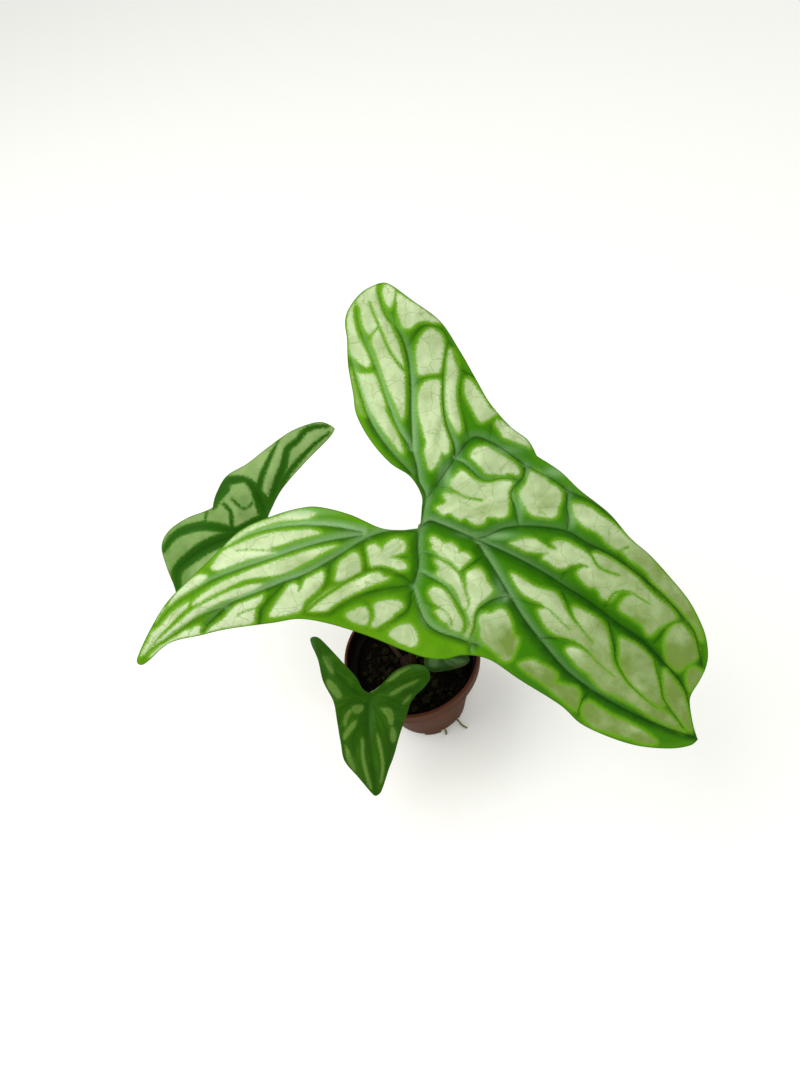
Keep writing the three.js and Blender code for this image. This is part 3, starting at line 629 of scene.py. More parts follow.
# Pale fields of the large leaf: the first list is silver, the second is dull
largeFields = [
    [(347, 322), (348, 334), (350, 352), (355, 360), (362, 365), (368.5, 367), (370, 361),
     (365, 349), (359, 338), (355, 327), (353, 315), (353, 308), (355, 302), (350, 309)],
    [(356, 302), (362, 293.5), (370, 288), (376, 285.5), (377, 297), (381, 309), (388, 321),
     (394, 333), (399, 345), (402, 357), (404, 370), (405, 390), (405, 408), (403, 419), (400, 416),
     (395, 404), (390, 393), (385, 381), (381, 369), (377, 357), (373, 347), (371, 340), (374, 334),
     (369, 335), (364, 328), (361, 318), (360, 308)],
    [(352, 369), (356, 372), (364, 374), (374, 374), (379, 383), (383, 394), (385, 404), (386, 412),
     (391, 422), (397, 434), (402, 446), (403, 453), (400, 452), (392, 442), (384, 432), (376, 420),
     (368, 408), (362, 396), (356, 383)],
    [(383, 287), (388, 284), (392, 287), (395, 291), (393, 302), (390, 308), (386, 304),
     (383, 296)],
    [(397, 293), (408, 299.5), (420, 306.5), (432, 315), (440, 322), (434, 322.5), (425, 321),
     (417, 323), (411, 328), (404, 328), (400, 321), (397, 308)],
    [(429, 329), (435, 330), (441, 335), (444, 343), (443, 356), (441, 368), (438, 373), (428, 374),
     (419, 375), (417, 366), (416, 352), (418, 343), (422, 335)],
    [(424, 383), (430, 380), (438, 380), (441, 384), (440, 398), (441, 412), (444, 424), (449, 440),
     (449, 451), (445, 455), (441, 452), (439, 460), (434, 468), (430, 470), (427, 464), (424, 452),
     (426, 444), (424, 436), (421, 424), (418, 412), (418, 398), (420, 389)],
    [(449, 350), (453, 352), (457, 362), (458, 374), (456, 386), (456, 400), (459, 415), (461, 427),
     (459, 433), (455, 430), (449, 418), (446, 408), (445, 395), (446, 378), (447, 362)],
    [(465, 381), (470, 380), (477, 389), (484, 398), (490, 408), (497, 413), (492, 417), (487, 420),
     (480, 422), (474, 412), (469, 403), (465, 393)],
    [(497, 420), (503, 422), (512, 428), (521, 434), (528, 441), (530, 447), (526, 446), (518, 443),
     (510, 440), (503, 437), (499, 430), (495, 424)],
    [(473, 450), (478, 447), (486, 446), (493, 450), (500, 454), (507, 458), (514, 463), (519, 469),
     (518, 475), (510, 473), (502, 475), (494, 474), (487, 474), (481, 468), (475, 462),
     (470, 456)],
    [(460, 471), (465, 472), (471, 477), (479, 482), (490, 483), (500, 480.5), (509, 480),
     (512, 484), (509, 491), (508.5, 505), (507, 515), (500, 518), (492, 517), (487, 517),
     (484, 523), (477, 525), (470, 522), (466, 518), (460, 520), (454, 516), (449, 513), (443, 515),
     (438, 511), (436, 507), (444, 504), (446, 500), (443, 497), (445, 493), (452, 494), (456, 491),
     (450, 486), (450, 481), (455, 476)],
    [(530, 472), (537, 472), (544, 477), (549, 483), (555, 486), (561, 492), (561, 500), (558, 508),
     (557, 515), (551, 518), (543, 517), (535, 516), (529, 513), (525, 507), (521, 500), (519, 493),
     (523, 487), (527, 481)],
    [(572, 505), (576, 503), (584, 505), (592, 509), (600, 515), (608, 520), (615, 525), (621, 531),
     (628, 538), (636, 544), (644, 549), (650, 556), (656, 564), (664, 573), (672, 581), (680, 590),
     (686, 598), (691, 608), (696, 619), (700, 630), (702, 640), (697, 636), (692, 627), (687, 618),
     (682, 611), (676, 604), (669, 600), (662, 592), (655, 584), (650, 577), (645, 570), (637, 564),
     (629, 559), (624, 553), (614, 548), (607, 543), (602, 537), (595, 531), (587, 528), (580, 523),
     (575, 517), (573, 511)],
    [(510, 543), (516, 541), (524, 538.5), (532, 538.5), (537, 540), (541, 543), (547, 547),
     (551, 549), (556, 548), (552, 544), (555, 541), (562, 541), (569, 543), (576, 547), (583, 551),
     (590, 556), (595, 553), (601, 555), (608, 558), (615, 562), (622, 567), (630, 571), (637, 578),
     (644, 586), (651, 593), (659, 600), (667, 606), (673, 612), (676, 618), (671, 621), (665, 624),
     (658, 628), (652, 634), (647, 634), (643, 626), (636, 620), (628, 615), (621, 611), (619, 606),
     (623, 600), (628, 596), (633, 595), (625, 590), (618, 592), (614, 597), (609, 600), (602, 598),
     (598, 590), (594, 587), (589, 587), (584, 583), (580, 578), (577, 574), (579, 570), (585, 567),
     (590, 567), (583, 564), (576, 564), (570, 565), (565, 568), (558, 568), (552, 565), (547, 561),
     (542, 559), (544, 555), (549, 553), (541, 553), (532, 552), (525, 551), (519, 548),
     (512, 545)],
    [(511, 573), (523, 579), (534, 586), (546, 590), (555, 593), (562, 602), (566, 611), (572, 620),
     (580, 628), (574, 615), (573, 607), (580, 609), (590, 614), (600, 621), (606, 630), (609, 642),
     (611, 657), (615, 668), (622, 677), (633, 686), (645, 697), (657, 707), (668, 714), (676, 722),
     (684, 731), (676, 728), (664, 723), (652, 717), (640, 709), (628, 702), (614, 695), (602, 689),
     (594, 681), (588, 673), (579, 667), (572, 659), (566, 651), (569, 647), (578, 648), (588, 654),
     (596, 661), (588, 650), (576, 641), (565, 637), (555, 634), (547, 628), (541, 618), (538, 610),
     (545, 608), (541, 603), (530, 598), (521, 592), (515, 583)],
    [(620, 638), (626, 640), (633, 643), (641, 649), (647, 655), (652, 661), (655, 670), (657, 680),
     (659, 690), (662, 698), (665, 703), (662, 706), (655, 704), (648, 698), (640, 691), (632, 684),
     (626, 678), (622, 670), (620, 660), (620, 648)],
    [(664, 670), (668, 674), (673, 680), (678, 687), (683, 694), (687, 701), (688, 709), (690, 718),
     (693, 727), (689, 730), (684, 724), (678, 717), (672, 709), (667, 702), (665, 693),
     (664, 682)],
    [(667, 634), (671, 628), (676, 624), (682, 625), (688, 632), (693, 640), (697, 648), (697, 656),
     (691, 662), (685, 665), (679, 670), (673, 667), (667, 659), (665, 650), (665, 641)],
    [(519, 664), (525, 661), (533, 660), (540, 664), (548, 668), (555, 673), (556, 678), (553, 682),
     (560, 684), (569, 686), (576, 688), (579, 694), (578, 702), (577, 710), (570, 706), (563, 700),
     (555, 694), (549, 688), (540, 681), (531, 675), (523, 669)],
    [(583, 706), (589, 702), (596, 706), (604, 711), (612, 716), (622, 720), (632, 725), (641, 730),
     (650, 736), (656, 742), (650, 744), (640, 742), (630, 738), (618, 735), (606, 731), (596, 728),
     (588, 722), (583, 715)],
    [(479, 618), (482, 614), (487, 612.5), (491, 614), (495, 610.5), (500.5, 609), (505, 610.5),
     (508.5, 616), (511, 623), (512, 629), (513.5, 635), (518, 638.5), (517, 645), (514, 652.5),
     (511, 659), (506, 661), (501, 659), (498, 655), (494.5, 652), (489, 647), (483.5, 642),
     (480, 636.5), (480.5, 629), (479, 623.5)],
    [(430.5, 537.5), (434, 536.5), (440, 540), (445, 543), (451, 542.5), (456, 546), (458.5, 549.5),
     (457.5, 553), (462, 552), (468, 554), (471, 557.5), (468.5, 561), (464, 565), (459, 569.5),
     (455.5, 566), (451, 561.5), (445, 558.5), (440, 556), (435, 551.5), (431, 548), (433, 545),
     (430.5, 541)],
    [(434.5, 559.5), (440, 560), (446, 562.5), (451, 565.5), (455.5, 570.5), (459.5, 576.5),
     (462.5, 583), (465, 590), (467.5, 597), (468, 604), (465.5, 609), (462, 606), (460, 601),
     (458, 595), (454.5, 589), (450, 584.5), (444.5, 581), (439, 577.5), (436, 574), (438.5, 569.5),
     (437, 565)],
    [(466.5, 573), (471, 570), (477, 568), (482, 570.5), (485, 575), (486.5, 580), (489.5, 584.5),
     (492.5, 589), (491, 593), (485.5, 598.5), (480, 603), (476, 608), (474, 614.5), (473, 622),
     (472, 629), (470.5, 635.5), (467.5, 638), (464.5, 636), (467, 630), (469.5, 624),
     (468.5, 617.5), (466.5, 611), (469.5, 605), (469.5, 597.5), (467.5, 590), (466.5, 582)],
    [(429, 590.5), (432, 587), (437, 587), (443, 589.5), (447.5, 594), (451.5, 600), (455, 606.5),
     (458.5, 613.5), (462, 619.5), (463, 625), (462, 629.5), (459, 632), (454.5, 630.5), (450, 628),
     (447.5, 623.5), (443, 621.5), (439, 617.5), (436.5, 613.5), (434.5, 610.5), (440, 608.5),
     (436, 604.5), (431, 599), (428.5, 594)],
    [(225, 546), (234, 537), (244, 530), (254, 524.5), (266, 520), (280, 516), (293, 511.5),
     (305, 510.5), (316, 513), (310, 518), (298, 520), (284, 521), (270, 524), (256, 529),
     (244, 535), (234, 542)],
    [(222, 552), (229, 548), (238, 544), (248, 539.5), (258, 536), (270, 533), (284, 531),
     (298, 530), (310, 529.5), (321, 532.5), (311, 536), (300, 538.5), (290, 542), (280, 545.5),
     (270, 548), (277, 552), (270, 555), (258, 557.5), (248, 560), (238, 563.5), (228, 567.5),
     (218, 570.5), (211, 568.5), (214, 562), (218, 557)],
    [(206, 575), (207, 578), (202, 583), (194, 588), (186, 593), (178, 598), (172, 603), (168, 606),
     (171, 600), (176, 593), (183, 586), (190, 580), (198, 575)],
    [(165, 608), (160, 614), (156, 621), (158, 614), (162, 608)],
    [(337, 545.5), (324, 547), (310, 550), (298, 553.5), (286, 557.5), (274, 561), (262, 565.5),
     (250, 570), (238, 575), (226, 580), (214, 586), (204, 593), (196, 599), (192, 604), (196, 605),
     (206, 599.5), (217, 593.5), (228, 587.5), (239, 582), (250, 578.5), (264, 577), (278, 575),
     (290, 571), (300, 565.5), (310, 560.5), (320, 554.5), (330, 549)],
    [(189, 602), (182, 605.5), (174, 611), (168, 617), (162, 624), (157, 629), (152, 632),
     (148, 641), (143, 650), (141, 656), (145, 653), (150, 647), (156, 640), (162, 633), (168, 627),
     (174, 620), (181, 613), (187, 608)],
    [(263, 584), (252, 584), (241, 587), (230, 591), (219, 596), (208, 601.5), (198, 607),
     (190, 612), (182, 619), (174, 626), (166, 633), (158, 640), (151, 647), (145, 654.5),
     (150, 651.5), (157, 645.5), (165, 638.5), (173, 632), (181, 626.5), (189, 621), (197, 616),
     (206, 610.5), (215, 605), (225, 600.5), (236, 597), (247, 593.5), (257, 588.5)],
    [(262, 592.5), (254, 596), (246, 600), (238, 604), (231, 610), (226, 616), (219, 622),
     (211, 627), (204, 630), (200, 633.5), (210, 631.5), (222, 628.5), (234, 627), (246, 625),
     (253, 622.5), (255, 614), (256, 607), (262, 600.5), (263, 596)],
    [(200, 625.5), (192, 628), (184, 631), (177, 634.5), (170, 639), (163, 644), (156, 650),
     (150, 656), (153, 656), (160, 650), (168, 644), (176, 639.5), (186, 637.5), (196, 635.5),
     (201, 632)],
    [(295.5, 583.5), (299, 586.5), (300, 590), (302.5, 585), (306, 579), (313, 573), (320, 570.5),
     (323.5, 573), (324, 580), (320, 587.5), (313, 594), (307, 599), (303, 604), (301, 610.5),
     (292, 613.5), (281, 616), (270, 617), (270.5, 612), (275, 604.5), (280, 597.5), (285, 590.5),
     (290, 585)],
    [(354, 552.5), (358, 554), (360, 560), (361, 567), (360, 572), (355, 576), (349, 579),
     (342, 581), (336, 581), (335.5, 577), (337, 571), (338, 565), (341, 560.5), (346, 557.5),
     (350, 554)],
    [(376, 572.5), (380, 573), (384, 577), (389, 577.5), (386, 580), (381, 582), (374, 584.5),
     (366, 588), (358, 592), (350, 596), (342, 600), (335, 604), (330, 608), (325, 611), (317, 611),
     (309, 610.5), (310, 606), (315, 601), (321, 596), (327, 591), (333, 588), (340, 585.5),
     (348, 583), (355, 580), (362, 577), (369, 573.5)],
    [(367, 548), (370, 545), (375, 544), (379, 546), (382, 550), (384, 546), (388, 542), (393, 539),
     (399, 538.5), (404, 541), (406, 547), (404, 552), (399, 554), (393, 556), (390, 557.5),
     (396, 558.5), (402, 560.5), (406, 564), (407, 568), (403, 570), (397, 570), (390, 568),
     (384, 566), (379, 565), (376, 567.5), (371, 566), (369, 561), (368, 554)],
    [(389, 599.5), (395, 600), (401, 602), (403, 606), (400, 610), (395, 613), (391, 618),
     (386, 622), (380, 626), (374, 627), (371, 626), (373, 621), (375, 615), (374, 609), (374, 604),
     (379, 601.5), (384, 600.5)],
    [(361, 607), (366, 608), (369, 613), (369, 619), (367, 624), (362, 625), (356, 623), (350, 620),
     (346, 616), (348, 612), (353, 610), (357, 608)],
    [(405, 624), (410, 624), (414, 628), (417, 634), (418, 640), (416, 645), (411, 647), (405, 645),
     (398, 642), (392, 638), (389, 635), (391, 630), (396, 627), (400, 625)],
]
largeDullFields = [
    [(350, 372), (353, 378), (357, 392), (362, 405), (366, 414), (361, 414), (357, 405),
     (354, 392)],
    [(690, 668), (697, 669), (702, 674), (697, 682), (691, 690), (688, 686), (687, 676)],
]

middleLeaf = {
    "node": "blade_middle",
    "piece": "middleBlade",
    "depth": 0.640,
    "rows": (90, 90),
    "columns": 44,
    "underColumns": 16,
    "arch": 0.006,
    "edgeDrop": 0.003,
    "wave": 0.0025,
    "waveCount": 2.3,
    "widthForFullArch": 60,
    "flatJoint": 45,
    "archReach": 8,
    "bandShare": 1.4,
    "glints": (),
    "ribDepth": 0.001,
    "ribWidth": 5,
    "relief": 0.7,
    "lobes": (((187, 617), 0.022), ((335, 429), 0.016), ((330, 596), 0.016)),
    "midrib": [
        (187, 617), (180, 600), (178, 583), (182, 568), (204, 551.6), (225, 541), (245, 530),
        (268, 517),
    ],
    "halves": [
        {
            "front": [
                (187, 617), (179, 603), (174, 586), (166.6, 567), (161.5, 546.5), (169, 530.5),
                (187, 518), (204, 511.5), (212.5, 507.6),
            ],
            "back": [
                (212.5, 507.6), (216, 494), (226.5, 476), (247, 463.6), (267, 448), (290, 431.7),
                (310.7, 423.4), (322, 422), (331, 425.5), (335, 429),
            ],
            "sinus": [
                (268, 517), (272, 508), (282.7, 488.4), (305.6, 462), (328.6, 438.7), (335, 429),
            ],
        },
        {
            "front": [(187, 617), (205, 613), (228, 606), (248, 600), (262, 594)],
            "back": [(262, 594), (280, 594), (300, 598), (318, 600), (330, 596)],
            "sinus": [
                (268, 517), (274, 526), (286, 540), (303, 556), (320, 574), (329, 587), (330, 596),
            ],
        },
    ],
    "ribs": [
        [(262, 520), (225, 541), (189.5, 559), (175.5, 572)],
        [(266, 507), (277.6, 481), (288, 449.5), (327, 424)],
        [(263.5, 504), (258.4, 489), (245.7, 477.6), (219.5, 497)],
        [(266, 522), (285, 560), (322, 592)],
    ],
}
middleVeins = {
    "midrib": ((4, 5.5, 5.5, 4, 2.5), [
        (264, 518), (250, 526), (231.6, 537.3), (216, 542.4), (201, 550), (188, 560), (178, 570),
        (177, 585), (187, 615)
    ]),
    "upperSide": ((3, 3.8, 3.6, 2.4), [
        (242, 531), (229, 529.7), (216, 527), (201, 526), (185.7, 529.7), (173, 537), (164, 550)
    ]),
    "upperTwig": ((1.2, 1.2), [(205, 523), (206.8, 510.6)]),
    "upperSpur": ((2, 1.5), [(232, 529), (231.6, 520.8), (230.4, 511.8), (224, 504)]),
    "curlRim": ((6, 6, 4, 2.5, 3.5, 4, 2), [
        (267, 516), (263, 504), (258.4, 495), (253, 486), (246, 480), (236, 479.5), (226, 482),
        (219, 491), (215.5, 501)
    ]),
    "curlWedge": ((7, 6, 4), [(221, 487), (216, 495), (213, 504)]),
    "curlLine": ((1, 1.2), [(252.5, 503), (247, 508), (241, 507.5), (236, 503), (232, 499)]),
    "upperLobeA": ((3, 2.4, 1.8, 0.8), [
        (258, 491), (262, 476), (268, 462), (274, 449), (279, 440)
    ]),
    "upperLobeB": ((5, 4, 3.4, 2.6, 2.4, 1.4), [
        (269, 514), (274, 496), (279, 480), (284, 465), (288, 449), (297, 441), (305, 431),
        (314, 427), (328, 426)
    ]),
    "upperLobeC": ((4, 2.6, 2, 1.2), [
        (271, 510), (281, 488), (288, 473.6), (303, 456), (316, 443), (329, 433)
    ]),
    "lowerLobeRib": ((3.5, 2.5), [(266, 522), (276, 541), (288, 560), (304, 577), (322, 592)]),
    "lowerSide": ((3, 2), [(246, 531), (244, 548), (236, 566), (222, 582), (206, 598)]),
    "lowerTwig": ((2.5, 1.5), [(270, 532), (266, 552), (262, 574), (254, 592)]),
}
# The silver covers the whole blade between its veins
middleFields = [
    [(187, 622), (170, 590), (155, 546), (165, 525), (205, 504), (214, 486), (240, 458), (290, 425),
     (325, 415), (342, 430), (310, 466), (285, 500), (292, 540), (335, 580), (336, 604),
     (260, 602)],
]

smallLeaf = {
    "node": "blade_small",
    "piece": "smallBlade",
    "depth": 0.590,
    "rows": (70, 56),
    "columns": 30,
    "underColumns": 12,
    "arch": 0.0045,
    "edgeDrop": 0.0025,
    "wave": 0.001,
    "waveCount": 2,
    "widthForFullArch": 40,
    "flatJoint": 30,
    "archReach": 5,
    "bandShare": 0.4,
    # Painted glints: soft highlights laid into the colour
    "glints": (
        (311, 646, 4, 8, 0.7), (418, 667, 9, 3, 0.5), (372, 722, 3, 16, 0.35), (335, 690, 5, 7, 0.3),
        (330, 668, 3, 10, 0.3),
    ),
    "ribDepth": 0.0008,
    "ribWidth": 4,
    "relief": 0.4,
    "lobes": (((376, 796), 0.014), ((428, 669.6), 0.009), ((310, 639.5), 0.010)),
    "midrib": [(376, 796), (373.5, 775), (370, 735), (369, 714), (370, 702), (369, 693)],
    "halves": [
        {
            "front": [
                (376, 796), (381.5, 791), (389, 769), (394, 755.6), (400.4, 733), (407.7, 712),
            ],
            "back": [
                (407.7, 712), (410.5, 703), (416, 695), (424, 687.5), (429.5, 680), (430, 674),
                (428, 669.6),
            ],
            "sinus": [
                (369, 693), (373.7, 691), (379, 687), (392.6, 673), (400.4, 668), (408, 665),
                (417, 664.3), (424, 665.7), (428, 669.6),
            ],
        },
        {
            "front": [
                (376, 796), (372, 793.5), (358, 777), (344.6, 761), (340.7, 743), (337, 721),
                (335, 707.6),
            ],
            "back": [(335, 707.6), (332.4, 699), (323, 681), (318, 660), (312, 646), (310, 639.5)],
            "sinus": [
                (369, 693), (362.5, 688.6), (356, 677), (342.4, 662), (325.7, 644), (318, 637.3),
                (312, 637), (310, 639.5),
            ],
        },
    ],
    "ribs": [
        [(370, 696), (369, 714), (371, 745), (376, 792)],
        [(372, 697), (395, 684), (422, 672)],
        [(366, 697), (346, 682), (316, 644)],
    ],
}
smallVeins = {
    "midrib": ((3, 2), [(370, 694), (369, 714), (370.5, 745), (374, 775), (376, 795)]),
    "rightLobeRib": ((2, 1), [(371, 697), (384, 689), (398, 680), (412, 674), (425, 671)]),
    "leftLobeRib": ((2, 1), [(367, 697), (352, 689), (338, 674), (326, 658), (314, 642)]),
    "rightSideA": ((2, 1), [(370, 708), (384, 703), (395, 700), (408, 692), (418, 686)]),
    "rightSideB": ((1, 1), [(370, 722), (380, 728), (387, 738), (390, 752), (384, 778)]),
    "leftSideA": ((2, 1), [(369, 706), (358, 702), (347, 704), (340, 712), (341, 728)]),
    "leftSideB": ((1, 1), [(369, 722), (359, 728), (353, 740), (357, 758), (366, 778)]),
}
smallFields = [
    [(323, 655), (328, 658), (332, 666), (334, 674), (330, 672), (325, 664)],
    [(327, 679), (332, 681), (338, 688), (342, 696), (338, 699), (332, 693), (327, 686)],
    [(386, 682), (393, 675), (401, 669.5), (411, 666.5), (409, 669), (401, 674), (393, 680)],
    [(388, 695), (396, 689), (404, 685), (413, 681), (420, 679), (414, 684), (404, 689),
     (395, 695)],
    [(402, 703), (406, 698), (411, 694), (410, 699), (405, 704)],
    [(343, 723), (345, 715), (350, 709), (352, 712), (348, 719), (346, 727)],
    [(352.5, 706), (358, 704.5), (363.6, 706), (362, 711), (356, 714), (352, 711)],
    [(343, 736), (347, 728), (352, 722), (357, 720), (355, 727), (350, 733), (345, 740)],
    [(380.5, 708), (386, 707.5), (391.5, 709.5), (394, 716), (393.5, 722), (392, 725.5),
     (388.5, 723), (386.5, 717), (383, 712)],
    [(361, 738), (364.5, 741), (364.5, 753), (367.5, 769), (372, 787), (369, 788), (364, 772),
     (361, 755)],
    [(377, 733), (380.5, 740), (383, 752), (384.5, 764), (383, 780), (380, 783), (381, 768),
     (379.5, 752), (377, 742)],
    [(345, 745), (349, 750), (353, 760), (356, 771), (352, 769), (347, 759)],
    [(391, 727), (395, 729), (396.5, 736), (394, 743), (390, 738)],
]

youngLeaf = {
    "node": "blade_young",
    "piece": "youngBlade",
    "depth": 0.634,
    "rows": (40, 30),
    "columns": 18,
    "underColumns": 8,
    "arch": 0.0025,
    "edgeDrop": 0.001,
    "wave": 0.0005,
    "waveCount": 2,
    "widthForFullArch": 20,
    "flatJoint": 12,
    "archReach": 3,
    "bandShare": 0.4,
    # Painted glints: soft highlights laid into the colour
    "glints": ((436, 665, 7, 2.5, 0.5), (462, 661, 5, 2, 0.6)),
    "ribDepth": 0.0006,
    "ribWidth": 3,
    "relief": 0.3,
    "lobes": (((470, 660), 0.005), ((424, 660), 0.004), ((428, 634), 0.004)),
    "midrib": [(470, 660), (458, 656), (446, 650), (438, 646)],
    "halves": [
        {
            "front": [(470, 660), (466, 651), (458, 643), (449, 637)],
            "back": [(449, 637), (441, 632), (433, 631), (428, 634)],
            "sinus": [(438, 646), (434, 643), (430, 639), (428, 634)],
        },
        {
            "front": [(470, 660), (467, 664), (460, 667.5), (450, 670), (441, 671.5)],
            "back": [(441, 671.5), (434, 672), (428, 670), (424.5, 665.5), (424, 660)],
            "sinus": [(438, 646), (434, 649), (429, 653), (425.5, 656.5), (424, 660)],
        },
    ],
    "ribs": [[(438, 646), (450, 652), (466, 659)]],
}
youngVeins = {
    "midrib": ((2, 1), [(438, 646), (450, 652), (468, 659)]),
    "upperLobeRib": ((1, 1), [(438, 646), (433, 640), (429, 635)]),
    "lowerLobeRib": ((1, 1), [(438, 646), (432, 653), (426, 660)]),
    "upperSide": ((1, 1), [(444, 649), (452, 646), (460, 649)]),
    "lowerSide": ((1, 1), [(443, 649), (446, 658), (455, 664)]),
}
youngFields = [
    [(446, 640), (454, 643), (461, 649), (466, 656), (459, 653), (450, 648)],
    [(444, 657), (452, 658), (461, 661), (464, 663), (456, 666), (447, 664)],
    [(430, 640), (434, 645), (433, 649), (429, 646)],
    [(429, 660), (435, 656), (439, 660), (436, 667), (430, 666)],
]

finishOfBlade = {
    "halfThickness": 0.0003,
    "furrow": 0.00045,  # depth of a vein's furrow on the upper face
    "furrowWidth": 2.0,
    "swell": 0.0008,  # how far a field between veins swells
    "swellWidth": 9,
    "pucker": 0.0006,  # unevenness of the fields
    "ridge": 0.0008,  # how far a main vein stands out underneath
    "shadeReach": 1.15,  # times a vein's half width
    # sheenFrom, sheenWidth and sheenSide place the painted sheen, a reflection laid into the colour
    "sheenFrom": 1.5,
    "sheenWidth": 9,
    "sheenSide": (0.62, -0.78),  # the side of a vein that shines, across and down the picture
    "litFrom": -0.2,  # how squarely a place faces that side, from unlit to fully lit
    "litTo": 0.6,
    "litStart": 2.6,  # the sheen and the shade grow to full over this distance from the vein
    "clearGap": 2.5,  # how much nearer than the next vein the nearest has to be
    "nearFrom": 6,  # a vein's own line ends between these distances
    "nearTo": 9,
    "reliefInset": 12,  # the relief fades out over this distance to the margin
    "dullTone": 0.25,
    "sharpAngle": 50,
}
farFromVeins = 99.0  # picture units
outsideFields = -20.0
fieldReach = 12.0  # how far outside its outline a field is still measured


def bladeGrid(leaf, half, columns):
    # Each half is ruled between its inner line (midrib, then sinus) and its outer margin
    frontRows, backRows = leaf["rows"]
    inner, outer = (np.vstack([evenPoints(first, frontRows), evenPoints(second, backRows)[1:]])
                    for first, second in ((leaf["midrib"], half["sinus"]),
                                          (half["front"], half["back"])))
    across = np.linspace(0, 1, columns + 1)
    points = inner[:, None] + across[None, :, None] * (outer - inner)[:, None]
    width = np.linalg.norm(outer - inner, axis=1)
    along = np.linspace(0, 1, len(inner))
    shape = points.shape[:2]
    return (points.reshape(-1, 2), np.broadcast_to(across, shape).ravel(),
            np.repeat(along, columns + 1), np.repeat(width, columns + 1))


def bladeDroop(leaf, points):
    # Lobes droop with the square of the reach from the joint
    joint = np.array(leaf["midrib"][-1])
    droop = np.zeros(len(points))
    for tip, depth in leaf["lobes"]:
        axis = np.array(tip) - joint
        reach = np.clip((points - joint) @ axis / (axis @ axis), 0, None)
        droop -= depth * reach ** 2
    return droop


def bladeArch(leaf, points, reach=10, step=5, columns=12):
    # Halves arch and the margin waves. A bell-shaped mean of near samples from the whole blade
    # keeps the ruled rows from showing as creases
    joint = np.array(leaf["midrib"][-1])
    samples, heights = [], []
    for half in leaf["halves"]:
        places, across, along, width = bladeGrid(leaf, half, columns)
        fullness = np.minimum(1, width / leaf["widthForFullArch"])
        fullness = fullness * fade(np.linalg.norm(places - joint, axis=1), 0, leaf["flatJoint"])
        swing = np.sin(2 * np.pi * leaf["waveCount"] * along + 0.6)
        arch = leaf["arch"] * fullness * 4 * across * (1 - across)
        arch += fullness * (leaf["wave"] * across ** 3 * swing - leaf["edgeDrop"] * across ** 2)
        rows = sum(leaf["rows"]) + 1
        samples.append(places.reshape(rows, -1, 2)[::step].reshape(-1, 2))
        heights.append(arch.reshape(rows, -1)[::step].ravel())
    samples, heights = np.vstack(samples), np.concatenate(heights)
    result = np.empty(len(points))
    for start in range(0, len(points), 4000):
        part = points[start:start + 4000]
        gap = ((part[:, None] - samples[None]) ** 2).sum(axis=2)
        weight = np.exp(-gap / reach ** 2)
        result[start:start + 4000] = weight @ heights / np.maximum(weight.sum(axis=1), 1e-12)
    return result


def ribFurrows(leaf, points):
    nearest = np.min([lineDistance(points, np.array(rib, float))[0] for rib in leaf["ribs"]], axis=0)
    return leaf["ribDepth"] * np.exp(-(nearest / leaf["ribWidth"]) ** 2)


def veinField(points, veins, bandShare):
    # Signed distance to the nearest vein, its half width, how clearly it is the nearest, the
    # painted sheen and the partly painted shade beside veins, and the distance to the nearest band
    count = len(points)
    signed, second, outsideBands = (np.full(count, farFromVeins) for _ in range(3))
    half, sheen, shade = np.ones(count), np.zeros(count), np.zeros(count)
    shape = finishOfBlade
    side = np.array(shape["sheenSide"])
    for name, (widths, line) in veins.items():
        distance, place, offset, turn = lineDistance(points, smoothLine(line, steps=4))
        ownHalf = np.interp(place, np.linspace(0, 1, len(widths)), widths)
        nearer = distance < np.abs(signed)
        second = np.where(nearer, np.abs(signed), np.minimum(second, distance))
        signed = np.where(nearer, distance * turn, signed)
        half = np.where(nearer, ownHalf, half)
        outsideBands = np.minimum(outsideBands, distance - bandShare * ownHalf)
        facing = offset @ side / np.maximum(distance, 1e-6)
        lit = fade(facing, shape["litFrom"], shape["litTo"]) * fade(distance, 0, shape["litStart"])
        # Shade: darker green beside a vein, with painted shade on the side away from the light
        reach = 1.2 + ownHalf * shape["shadeReach"]
        strip = (0.35 + 0.65 * fade(ownHalf, 1, 6)) * (1 - fade(distance, 0.3, reach))
        shade = np.maximum(shade, strip * (1 - 0.5 * lit))
        # Painted sheen: a reflection of the light, laid on the side of the vein that faces it
        if veins is largeVeins and name in veinSheen:
            share = veinSheen[name]
            reach = shape["sheenWidth"] * fade(ownHalf, 0.5, 5)
            away = np.clip((distance - shape["sheenFrom"]) / (reach + 0.1), 0, 1)
            strip = lit * (1 - away) ** 1.5
            strip *= np.interp(place, np.linspace(0, 1, len(share)), share)
            sheen = np.maximum(sheen, strip)
    clear = fade(second - np.abs(signed), 0, shape["clearGap"])
    return signed, half, clear, sheen, shade, outsideBands


def paleField(points, outlines):
    # Signed distance to the nearest field outline, positive inside, in picture units
    field = np.full(len(points), outsideFields)
    for outline in outlines:
        line = smoothLine(outline, closed=True, steps=3)
        low, high = line.min(axis=0) - fieldReach, line.max(axis=0) + fieldReach
        close = np.flatnonzero(((points > low) & (points < high)).all(axis=1))
        if len(close) == 0:
            continue
        distance = lineDistance(points[close], np.vstack([line, line[:1]]))[0]
        inside = insideOutline(points[close], line)
        field[close] = np.maximum(field[close], np.where(inside, distance, -distance))
    return field


def spot(points, x, y, wide, high):
    return np.exp(-((points[:, 0] - x) / wide) ** 2 - ((points[:, 1] - y) / high) ** 2)


